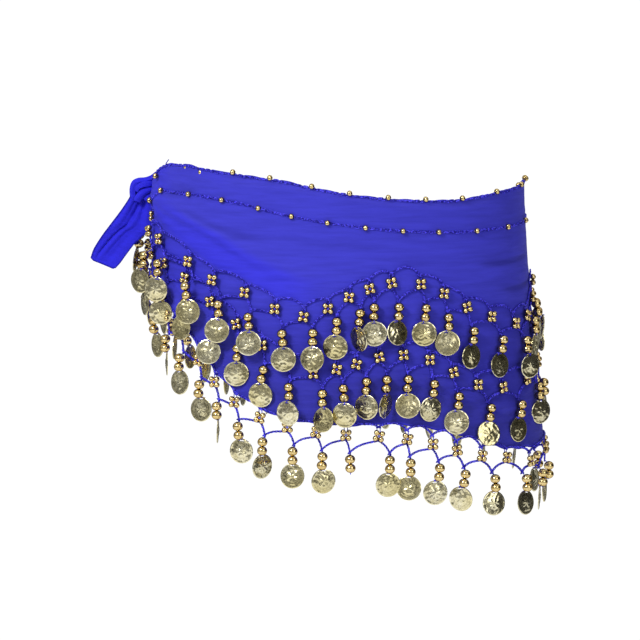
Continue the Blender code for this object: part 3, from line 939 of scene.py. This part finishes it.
def thread_tree():
    """Makes each line a round thread."""
    tree, given = geometry_tree("thread along lines", Radius="Float")
    links = {"Radius": given.outputs["Radius"]}
    ring = add(tree, "GeometryNodeCurvePrimitiveCircle", {"Resolution": 5}, links)
    links = {"Curve": curves_of(tree, given), "Profile Curve": ring.outputs[0]}
    tube = add(tree, "GeometryNodeCurveToMesh", {"Fill Caps": True}, links)
    smooth = add(tree, "GeometryNodeSetShadeSmooth", links={"Geometry": tube.outputs[0]})
    return close_tree(tree, given, smooth.outputs[0])


def chain_tree():
    """Works a row of chain stitches along each line, flat on the cloth."""
    tree, given = geometry_tree("crochet chain along lines", Stitch="Object", Pitch="Float")
    links = {"Curve": curves_of(tree, given), "Length": given.outputs["Pitch"]}
    spaced = add(tree, "GeometryNodeResampleCurve", links=links, mode="LENGTH")
    links = {"Vector": add(tree, "GeometryNodeInputTangent").outputs[0]}
    lengthwise = add(tree, "FunctionNodeAlignRotationToVector", links=links, axis="X")
    links = {"Rotation": lengthwise.outputs[0], "Vector": vector_named(tree, "outward")}
    flat = add(tree, "FunctionNodeAlignRotationToVector", links=links, axis="Z", pivot_axis="X")
    links = {
        "Points": spaced.outputs[0], "Instance": shape_of(tree, given, "Stitch"),
        "Rotation": flat.outputs[0],
    }
    placed = add(tree, "GeometryNodeInstanceOnPoints", links=links)
    return close_tree(tree, given, placed.outputs[0])


def worked_out(piece):
    """The plain mesh that a piece's modifiers make of it."""
    depsgraph = bpy.context.evaluated_depsgraph_get()
    return bpy.data.meshes.new_from_object(
        piece.evaluated_get(depsgraph), preserve_all_data_layers=True, depsgraph=depsgraph,
    )


def made_by(tree, name, source, values):
    """The plain mesh that a tree makes of a source mesh."""
    carrier = put(name + "_source", source)
    modifier = carrier.modifiers.new("made", "NODES")
    modifier.node_group = tree
    for item in tree.interface.items_tree:
        if item.in_out == "INPUT" and item.name in values:
            modifier[item.identifier] = values[item.name]
    mesh = worked_out(carrier)
    bpy.data.objects.remove(carrier)
    return put(name, mesh)


def turned_shape(name, profile, sides):
    """A solid of revolution round Z from (radius, height, hollow) rows, closed through its hole."""
    points, tones, faces = [], [], []
    for radius, z, hollow in profile:
        for k in range(sides):
            turn = 2 * math.pi * k / sides
            points.append((radius * math.cos(turn), radius * math.sin(turn), z))
            tones.append(hollow)
    rows = len(profile)
    for i in range(rows):
        for k in range(sides):
            j = (k + 1) % sides
            n = (i + 1) % rows
            faces.append((i * sides + k, i * sides + j, n * sides + j, n * sides + k))
    mesh = new_mesh(name, points, faces=faces)
    write_values(mesh, "hollow", tones)
    mesh.shade_smooth()
    return mesh


def bead_shape(name, radius, sides, bands):
    """A round bead with a hole through it."""
    ends = math.asin(BEAD_HOLE)
    profile = []
    for i in range(bands + 1):
        polar = ends + (math.pi - 2 * ends) * i / bands
        tone = 0.75 if i in (0, bands) else 0.0
        profile.append((radius * math.sin(polar), -BEAD_FLAT * radius * math.cos(polar), tone))
    profile.append((radius * BEAD_HOLE * 0.6, radius * 0.7, 1.0))
    profile.append((radius * BEAD_HOLE * 0.6, -radius * 0.7, 1.0))
    return turned_shape(name, profile, sides)


def coin_relief(radius, turn, petals, luck):
    """How far a coin's face is raised: a rim, a ring of dots, a fine circle and a flower."""
    if radius >= 9.0:
        return {9.0: 0.34, 9.5: 0.4, 10.0: 0.2}[radius]
    if radius == 7.1:
        return 0.42 if round(turn * COIN_SIDES / (2 * math.pi)) % 2 else 0.04
    if radius == 5.0:
        return 0.2 + luck.uniform(0, 0.12)
    if radius < 5.0:
        petal = math.cos(0.5 * petals * turn) ** 2
        flower = {1.2: 0.5, 2.5: 0.62 * petal + 0.1, 3.8: 0.42 * petal + 0.04}[radius]
        return flower + luck.uniform(-0.14, 0.14)
    return luck.uniform(0, 0.08)


def coin_shape(name, petals, luck):
    """A thin stamped coin, pierced near its top, with its front towards -Y."""
    points, tones, faces = [], [], []
    for side in (-1, 1):
        points.append((0, side * 0.5 * COIN_THICK - COIN_DOME + side * 0.5, 0))
        tones.append(0.0)
        for radius in COIN_RINGS:
            dome = COIN_DOME * (1 - (radius / COIN_RADIUS) ** 2)
            for k in range(COIN_SIDES):
                turn = 2 * math.pi * k / COIN_SIDES
                raised = coin_relief(radius, turn, petals if side < 0 else 4, luck)
                out = side * (0.5 * COIN_THICK - 0.2 + 0.75 * raised) - dome
                points.append((radius * math.sin(turn), out, radius * math.cos(turn)))
                tones.append(min(1.0, max(0.0, 0.4 - 1.9 * raised)))
    per_side = 1 + len(COIN_RINGS) * COIN_SIDES

    def at(side, ring, k):
        return side * per_side + 1 + ring * COIN_SIDES + k % COIN_SIDES

    hole_ring, last = COIN_RINGS.index(8.1), len(COIN_RINGS) - 1
    for side in (0, 1):
        for k in range(COIN_SIDES):
            corners = [(side * per_side, at(side, 0, k + 1), at(side, 0, k))]
            for ring in range(last):
                if ring == hole_ring and k in (0, COIN_SIDES - 1):
                    continue
                inner = at(side, ring, k), at(side, ring, k + 1)
                outer = at(side, ring + 1, k + 1), at(side, ring + 1, k)
                corners.append((*inner, *outer))
            faces += [c if side else c[::-1] for c in corners]
    for k in range(COIN_SIDES):
        faces.append((at(0, last, k), at(0, last, k + 1), at(1, last, k + 1), at(1, last, k)))
    low, high = hole_ring, hole_ring + 1
    loop = [(low, -1), (low, 0), (low, 1), (high, 1), (high, 0), (high, -1)]
    for (r0, k0), (r1, k1) in zip(loop, loop[1:] + loop[:1]):
        faces.append((at(0, r0, k0), at(1, r0, k0), at(1, r1, k1), at(0, r1, k1)))
    mesh = new_mesh(name, points, faces=faces)
    write_values(mesh, "hollow", tones)
    face_outward(mesh)
    mesh.shade_smooth()
    mesh.set_sharp_from_angle(angle=math.radians(55))
    return mesh


def stitch_shape(name):
    """One chain stitch: a flat loop of yarn, pointed at its tail, along X and facing Z."""
    loop = []
    steps = 8
    up = Vector((0, 0, 1))
    for i in range(steps):
        turn = 2 * math.pi * i / steps
        x = -0.5 * STITCH_LENGTH * math.cos(turn)
        y = (0.5 * CHAIN - 0.5 * YARN) * math.sin(turn) * (1.0 if x > 0 else 0.75)
        z = 0.35 * (x / (0.5 * STITCH_LENGTH))
        loop.append(Vector((x, y, z)))
    points, faces = [], []
    for i in range(steps):
        along = (loop[(i + 1) % steps] - loop[i - 1]).normalized()
        side = along.cross(up).normalized()
        for k in range(3):
            turn = 2 * math.pi * k / 3
            points.append(loop[i] + (side * math.cos(turn) + up * math.sin(turn)) * 0.5 * YARN)
        for k in range(3):
            j, n = (k + 1) % 3, (i + 1) % steps
            faces.append((i * 3 + k, i * 3 + j, n * 3 + j, n * 3 + k))
    mesh = new_mesh(name, points, faces=faces)
    face_outward(mesh)
    mesh.shade_smooth()
    return mesh


class Trim:
    """What one net, or the edging, is made of: lines and points that the trees turn into pieces."""

    laid = []

    def __init__(self, name):
        self.name = name
        self.chains = []
        self.threads = []
        self.small = []
        self.big = []
        self.coins = ([], [], [])

    def lay(self, angle, z, half_width, half_height, top):
        Trim.laid.append((self.name, angle, z, half_width, half_height, top))

    def rest(self, angle, z, half_width, half_height, least, own=False):
        """The lowest place over what lies there, of the nets below and, if asked, of this one."""
        for name, a, other_z, w, h, top in Trim.laid:
            if name == self.name and not own:
                continue
            apart = abs(a - angle) * mm_per_degree(angle, z)
            if apart < half_width + w and abs(other_z - z) < half_height + h:
                least = max(least, top + CLEARANCE)
        return least


def arch(start, end, bow, lift, steps=7):
    """Places, as (angle, z), along a chain that hangs or bows between two of them."""
    (a0, z0), (a1, z1) = start, end
    out = []
    for i in range(steps + 1):
        t = i / steps
        a = a0 + (a1 - a0) * (t + bow * math.sin(math.pi * t))
        z = z0 + (z1 - z0) * t + lift * math.sin(math.pi * t)
        out.append((a, z))
    return out


def lay_chain(trim, places, base):
    """Adds a chain on the cloth through these places, this far out."""
    line = []
    for angle, z in places:
        line.append((lie(angle, z, base), outward_at(angle, z)))
        trim.lay(angle, z, 0.6 * CHAIN, 0.6 * CHAIN, base + 1.0)
    trim.chains.append(line)


def clover(trim, angle, z, base, luck):
    """Four small beads sewn in a square, a little turned."""
    twist = luck.uniform(-CLOVER_TWIST, CLOVER_TWIST)
    _, along, outward = frame_at(angle, z)
    middle = lie(angle, z, base + SMALL_BEAD * 0.85)
    up = Vector((0, 0, 1))
    trim.lay(angle, z, CLOVER_HALF, CLOVER_HALF, base + 1.9 * SMALL_BEAD)
    corners = []
    for k in range(4):
        turn = math.radians(45 + 90 * k + twist)
        away = along * math.cos(turn) + up * math.sin(turn)
        spot = middle + away * SMALL_BEAD * CLOVER_SPREAD
        corners.append(spot)
        hole = (up * math.cos(turn) - along * math.sin(turn)).normalized()
        trim.small.append((spot, hole.to_track_quat("Z", "Y").to_euler()))
    for k in (0, 1):
        first, second = (corners[n] + outward * 0.4 for n in (k, k + 2))
        trim.threads.append([first, middle + outward * 0.3, second])


def coin_turn(faces, tips, roll):
    """The Euler turn of a coin that faces away from -Y towards +X, and tips forward below."""
    turn = Matrix.Identity(3)
    for degrees, axis in ((faces, "Z"), (tips, "X"), (roll, "Y")):
        turn = turn @ Matrix.Rotation(math.radians(degrees), 3, axis)
    return turn.to_euler()


def facing(angle, z):
    """The azimuth of the cloth's outward direction, away from -Y towards +X."""
    out = outward_at(angle, z)
    return math.degrees(math.atan2(out.x, -out.y))


def pendant(trim, angle, z, base, hang, luck, has_coin=True):
    """Two gold beads on a string, and a coin that hangs below them."""
    half = BIG_BEAD
    slant = math.tan(math.radians(hang.leans))
    drops = [FIRST_BEAD_BELOW, FIRST_BEAD_BELOW + BEAD_PITCH]
    least = base - PENDANT_SINKS
    out = max(trim.rest(angle, z - d, half, half, least) for d in drops) + half
    coin_z = z - COIN_BELOW
    wanted = 0.0
    if has_coin:
        below = trim.rest(angle, coin_z, COIN_REACH, COIN_RADIUS, least, own=True)
        wanted = below + 0.5 * COIN_THICK + COIN_KEEPS_OFF
        if coin_z - 4 > height("hem", angle):
            # A turned coin stands away from the cloth behind it
            off = math.radians(hang.faces - facing(angle, coin_z))
            wanted += TURNED_COIN_STANDS * COIN_RADIUS * abs(math.sin(off))
    places = []
    for d in drops:
        sway = luck.uniform(-SWAY, SWAY)
        stands = max(out, out + (wanted - out) * (d / COIN_BELOW) * 0.5)
        places.append(lie(angle, z - d, stands, slant * d + sway))
        trim.lay(angle, z - d, half, half, stands + half)
    axis = (places[1] - places[0]).normalized()
    for spot in places:
        trim.big.append((spot, axis.to_track_quat("Z", "Y").to_euler()))
    trim.threads.append([lie(angle, z, base), places[0]])
    if not has_coin:
        trim.threads.append([places[1], places[1] - Vector((0, 0, BIG_BEAD + 0.9))])
        return
    centre = lie(angle, coin_z, max(wanted, 0.0), slant * COIN_BELOW)
    trim.lay(angle, coin_z, COIN_REACH, COIN_RADIUS, wanted + 0.5 * COIN_THICK + 0.4)
    turn = coin_turn(hang.faces, hang.tips, math.degrees(math.atan(slant)) * COIN_LEANS)
    kind = luck.randrange(3)
    trim.coins[kind].append((centre, turn))
    # The thread goes from the lower bead through the coin's hole and back
    hole = centre + turn.to_matrix() @ Vector((0, 0, COIN_HOLE_AT + 0.5))
    front = turn.to_matrix() @ Vector((0, -LOOP_OUT, 0))
    end = places[1] + axis * (BIG_BEAD - 0.2)
    above = Vector((0, 0, LOOP_UP))
    through_hole = [hole + front * 0.8, hole - front * 0.8]
    trim.threads.append([end, hole + front + above, *through_hole, hole - front + above, end])


def shows_below(angle, z):
    """Whether a coin of the back half, with its middle here, hangs into view below the front's hem."""
    point = lie(angle, z)
    seen_rise = 2 * math.tan(math.radians(CAMERA_RISES)) * abs(point.y)
    return z - COIN_RADIUS + seen_rise < height("hem", folded(angle)) - 3.0


def hang_of(line, number, angle, z, luck):
    """How the coin with this number hangs. The hidden ones are like those in front."""
    table = COIN_HANGS[line]
    if number < len(table):
        return Hang(*table[number])
    # Near the sides they lie flat. Behind a gap of the front they hang edge on, because the
    # photograph shows none there
    loose = ease(20.0, 60.0, min(angle - 180, 360 - angle))
    turned = facing(angle, 0) + (5 + 27 * loose) * luck.uniform(-1, 1)
    if shows_below(angle, z - COIN_BELOW):
        most = (62, 84) if line == "low" else (78, 88)
        turned = luck.choice((-1, 1)) * luck.uniform(*most)
    return Hang(turned, (1 + 4 * loose) * luck.uniform(-1, 1), luck.uniform(-8, 8))


def lifted(line, angle):
    """How far out a net lies."""
    if line != "upper":
        return CHAIN_LIES
    return CHAIN_LIES + UPPER_CROSSES * ease(66.0, 52.0, folded(angle))


def net(line, luck):
    """One net all the way round, from one end of the scarf to the other."""
    trim = Trim(line)
    front = CLOVERS[line]
    back = [360 - a for a in reversed(front) if a != 180]
    back[-1] = LAST_CLOVER[line]
    spots = [(a, height(line, a)) for a in (*front, *back)]
    shares = [(hang, PEAK_AT) for hang in HANGS[line]]
    mirrored = [(1 - hang, 1 - peak_at) for hang, peak_at in reversed(shares)]
    # Without a clover at the scarf's middle, one link crosses it and has no mirror image
    shares += mirrored if 180 in front else mirrored[1:]
    shares[-1] = (LAST_HANG, PEAK_AT)

    for angle, z in spots:
        base = lifted(line, angle)
        clover(trim, angle, z, base, luck)
        step = math.degrees(CLOVER_THREADS_ASIDE / HALF_WIDTH_TOP)
        for side in (-1, 1):
            held = [lie(angle + side * step * 0.9, z + up, base) for up in CLOVER_THREADS]
            trim.threads.append(held)
    hung = []
    for (left, z_left), (right, z_right), (hang, peak_at) in zip(spots, spots[1:], shares):
        span = right - left
        middle = 0.5 * (left + right)
        base = lifted(line, middle)
        down = (z_left - z_right) / (span * mm_per_degree(middle, z_left))
        peak = left + peak_at * span
        if line == "low":
            peak_z = height("hem", peak) + 1.0
        else:
            flatter = PEAK_FLATTENS * min(1.0, abs(down) / STEEP)
            peak_z = 0.5 * (z_left + z_right) + PEAK_RISE - flatter
        upper = arch((left, z_left + CLOVER_HANGS), (peak, peak_z), *PEAK_ARCHES[0])
        upper += arch((peak, peak_z), (right, z_right + CLOVER_HANGS), *PEAK_ARCHES[1])[1:]
        lay_chain(trim, upper, base)
        valley = left + hang * span, max(z_left, z_right) - CLOVER_HALF - VALLEY_DROP
        lay_chain(trim, arch((left, z_left - CLOVER_HALF), valley, *VALLEY_ARCHES[0]), base)
        lay_chain(trim, arch(valley, (right, z_right - CLOVER_HALF), *VALLEY_ARCHES[1]), base)
        hung.append(valley)
    hung.append((spots[-1][0], spots[-1][1] - CLOVER_HALF))
    for number, (angle, z) in enumerate(hung):
        hang = hang_of(line, number, angle, z, luck)
        has_coin = (line, number) != LOST_COIN
        pendant(trim, angle, z, lifted(line, angle), hang, luck, has_coin)
    return trim


def edging():
    """The crochet edging along the top, the stitched line below it and their small beads."""
    trim = Trim("edging")
    for back in (False, True):
        def at(front):
            return 360 - front if back else front

        def stitched(angle):
            return height("bead_line", angle)

        runs = (top_edge, EDGE_ANGLES["top"] + 1, -0.6), (stitched, LINE_START, 0.0)
        for level, front, rise in runs:
            places = []
            while front < EDGING_ENDS:
                zigzag = ZIGZAG * (-1) ** len(places)
                places.append((at(front), level(at(front)) + rise + zigzag))
                front += EDGING_STEP / mm_per_degree(front, 0)
            lay_chain(trim, places, EDGING_OUT)
        for front in TOP_BEADS:
            small_bead(trim, at(front), top_edge(at(front)) + TOP_BEAD_UP, TOP_BEAD_OUT)
        for front in LINE_BEADS:
            small_bead(trim, at(front), height("bead_line", at(front)), LINE_BEAD_OUT)
        run = smooth_path([(*corner, 0) for corner in LINE_END], 6)
        lay_chain(trim, [(at(p.x), p.y) for p in run], LINE_END_OUT)
        for share in LINE_END_BEADS:
            p = run[int(share * (len(run) - 1))]
            small_bead(trim, at(p.x), p.y, LINE_END_BEAD_OUT)
    for angle, z, out in PLACED_BEADS:
        small_bead(trim, angle, z, out)
    trim.threads.append([KNOT_CENTRE + Vector(p) for p in LOOSE_THREAD])
    return trim


def small_bead(trim, angle, z, out):
    """Adds one small bead, threaded along the cloth."""
    spot = lie(angle, z, out)
    along = frame_at(angle, z)[1]
    trim.small.append((spot, along.to_track_quat("Z", "Y").to_euler()))


def lines_mesh(lines):
    """Lines of (point, outward) pairs, or of points, as one mesh of edges."""
    points, outwards, edges = [], [], []
    for line in lines:
        start = len(points)
        for entry in line:
            point, outward = entry if isinstance(entry, tuple) else (entry, Vector((0, 0, 1)))
            points.append(point)
            outwards.append(outward)
        edges += [(i, i + 1) for i in range(start, len(points) - 1)]
    mesh = new_mesh("lines", points, edges=edges)
    write_vectors(mesh, "outward", outwards)
    return mesh


def points_mesh(items):
    """Points that each carry an Euler turn."""
    mesh = new_mesh("points", [p for p, _ in items])
    write_vectors(mesh, "turned", [turn for _, turn in items])
    return mesh


def dress(piece, slot_name, *nodes):
    """Rides a finished piece on the one body and hides the solids that it stands for; slot_name is not
    used.
    """
    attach(piece, "root")
    if nodes:
        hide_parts(*nodes)
    return piece


def apply_modifiers(piece):
    mesh = worked_out(piece)
    piece.modifiers.clear()
    piece.data = mesh
    return piece


def make_trim():
    """All that is crocheted, sewn on or hung."""
    yarn, gold, plate = yarn_material(), bead_material(), coin_material()
    stitch = put("stitch_shape", stitch_shape("stitch"))
    small = put("small_bead_shape", bead_shape("small_bead", SMALL_BEAD, 10, 5))
    big = put("big_bead_shape", bead_shape("big_bead", BIG_BEAD, 12, 6))
    coins = [put(f"coin_shape_{n}", coin_shape("coin", n, random.Random(n))) for n in COIN_PETALS]
    chain, thread, beads = chain_tree(), thread_tree(), beads_tree()
    luck = random.Random(SEED)
    for trim in [net(line, luck) for line in ("low", "middle", "upper")] + [edging()]:
        label = {"low": "hem"}.get(trim.name, trim.name)
        stands_for = [] if label == "edging" else [f"{label}_net"]
        # Name, tree, what it works on, its values, material, slot and the solids it stands for
        rows = [
            ("crochet", chain, lines_mesh, trim.chains,
             {"Stitch": stitch, "Pitch": STITCH_PITCH * MM}, yarn, "crochet", stands_for),
            ("small_beads", beads, points_mesh, trim.small,
             {"Shape": small, "Size": 1.0}, gold, "bead", []),
            ("threads", thread, lines_mesh, trim.threads,
             {"Radius": 0.5 * THREAD * MM}, yarn, "crochet", []),
            ("big_beads", beads, points_mesh, trim.big,
             {"Shape": big, "Size": 1.0}, gold, "bead", []),
        ]
        for n, (shape, items) in enumerate(zip(coins, trim.coins), 1):
            values = {"Shape": shape, "Size": 1.0}
            rows.append((f"coins_{n}", beads, points_mesh, items, values, plate, "coin", []))
        for part, tree, as_mesh, items, values, material, slot_name, nodes in rows:
            if items:
                values = {**values, "Material": material}
                dress(made_by(tree, f"{label}_{part}", as_mesh(items), values), slot_name, *nodes)
    for shape in [stitch, small, big, *coins]:
        bpy.data.objects.remove(shape)


# The cloth from one layer in painted shade, over one in the light and a double layer, to the rolled hem
SHEER_TONES = ("#3130A0", "#3C3BBE", "#3836D0", "#1C18A0")
GATHERED_TONES = ("#2B29CE", "#2B29CE", "#2B29CE", "#15108C")


def make_cloth():
    """The chiffon: two stretches round the hips, the knot and its two ends."""
    sheer = chiffon_material("crinkled polyester chiffon", SHEER_TONES, 0.94)
    gathered = chiffon_material("gathered polyester chiffon", GATHERED_TONES, 1.0)
    front = chiffon_stretch("chiffon_front", False, sheer)
    back = chiffon_stretch("chiffon_back", True, sheer)
    pieces = (
        (front, "chiffon", "cloth_front", (0.46, 0.20), "draped"),
        (back, "chiffon", "cloth_back", (0.46, 0.20), "draped"),
        (long_end(gathered), "tie", "tie_end_long", (0.045, 0.085), "hung"),
        (short_end(gathered), "tie", "tie_end_short", (0.03, 0.06), "hung"),
    )
    for piece, slot_name, node, flat, held in pieces:
        dress(apply_modifiers(piece), slot_name, node)
        sheet_area(piece)
    dress(apply_modifiers(knot(gathered)), "tie", "knot")


def sheet_area(piece):
    """The flat area of a thin closed shell in square metres: half of its surface."""
    return 0.5 * sum(p.area for p in piece.data.polygons)


# The studio, seen from the photograph's place
CAMERA_AT = Vector((-14.69, -3994.53, 237.21))
CAMERA_TO = Vector((-14.69, -9.75, -111.41))
LENS = 275.6
SENSOR = 36.0
FLOOR_Z = -620.0
FLOOR_HALF = 1500.0
# A soft box high on the left and a weaker one on the right: place, side and power, in metres
# and watts
LAMPS = {"key": ((-1.7, -2.6, 1.9), 0.9, 86.0), "fill": ((2.2, -2.6, 0.6), 1.6, 20.0)}
LAMPS_AIM = Vector((0, 0, -0.1))
# The room from the floor up: a dim band behind the camera, bright walls and a brighter ceiling
ROOM_FLOOR, ROOM_CEILING = 0.15, 1.3
ROOM_BANDS = ((0.4, 0.2), (0.49, 0.65), (0.65, 0.85), (0.8, 1.1))
BACKDROP = 1.05


def add_camera():
    data = bpy.data.cameras.new("camera")
    data.lens = LENS
    data.sensor_width = SENSOR
    data.clip_end = 100.0
    camera = put("camera", data)
    camera.location = CAMERA_AT * MM
    camera.rotation_euler = (CAMERA_TO - CAMERA_AT).to_track_quat("-Z", "Y").to_euler()
    bpy.context.scene.camera = camera


def add_light(name, at, side, power):
    data = bpy.data.lights.new(name, "AREA")
    data.size = side
    data.energy = power
    lamp = put(name, data)
    lamp.location = at
    lamp.rotation_euler = (LAMPS_AIM - Vector(at)).to_track_quat("-Z", "Y").to_euler()


def grey(level):
    return level, level, level, 1.0


def add_room():
    """The studio's walls, which the metal reflects. The camera sees plain white in their place."""
    world = bpy.data.worlds.new("studio")
    bpy.context.scene.world = world
    world.use_nodes = True
    tree = world.node_tree
    tree.nodes.clear()
    place = add(tree, "ShaderNodeTexCoord").outputs["Generated"]
    parts = add(tree, "ShaderNodeSeparateXYZ", links={0: place})
    ramp = add(tree, "ShaderNodeValToRGB", links={"Fac": remap(tree, parts.outputs["Z"], -1.0, 1.0)})
    stops = ramp.color_ramp.elements
    stops[0].color, stops[1].color = grey(ROOM_FLOOR), grey(ROOM_CEILING)
    for position, level in ROOM_BANDS:
        stops.new(position).color = grey(level)
    # Dark stands and openings between the soft boxes, and a dark curtain to the right
    gaps = remap(tree, noise_of(tree, place, 5.5, 1.0), 0.43, 0.49, 0.05, 1.0)
    curtain = remap(tree, parts.outputs["X"], 0.6, 0.85, 1.0, 0.12)
    room = colour_mix(tree, 1.0, ramp.outputs["Color"], gaps, "MULTIPLY")
    room = colour_mix(tree, 1.0, room, curtain, "MULTIPLY")
    seen = add(tree, "ShaderNodeLightPath").outputs["Is Camera Ray"]
    mixed = colour_mix(tree, seen, room, grey(BACKDROP))
    glow = add(tree, "ShaderNodeBackground", {"Strength": 1.0}, {"Color": mixed})
    add(tree, "ShaderNodeOutputWorld", links={"Surface": glow.outputs[0]})


def add_studio():
    """A plain white floor and soft studio light."""
    square = (-1, -1), (1, -1), (1, 1), (-1, 1)
    corners = [(FLOOR_HALF * x, FLOOR_HALF * y, FLOOR_Z) for x, y in square]
    floor = put("floor", new_mesh("floor", corners, faces=[(0, 1, 2, 3)]))
    floor.data.materials.append(paper_material())
    add_room()
    for name, (at, side, power) in LAMPS.items():
        add_light(name, at, side, power)
    bpy.context.scene.view_settings.view_transform = "Standard"


add_camera()
make_trim()
make_cloth()
add_studio()
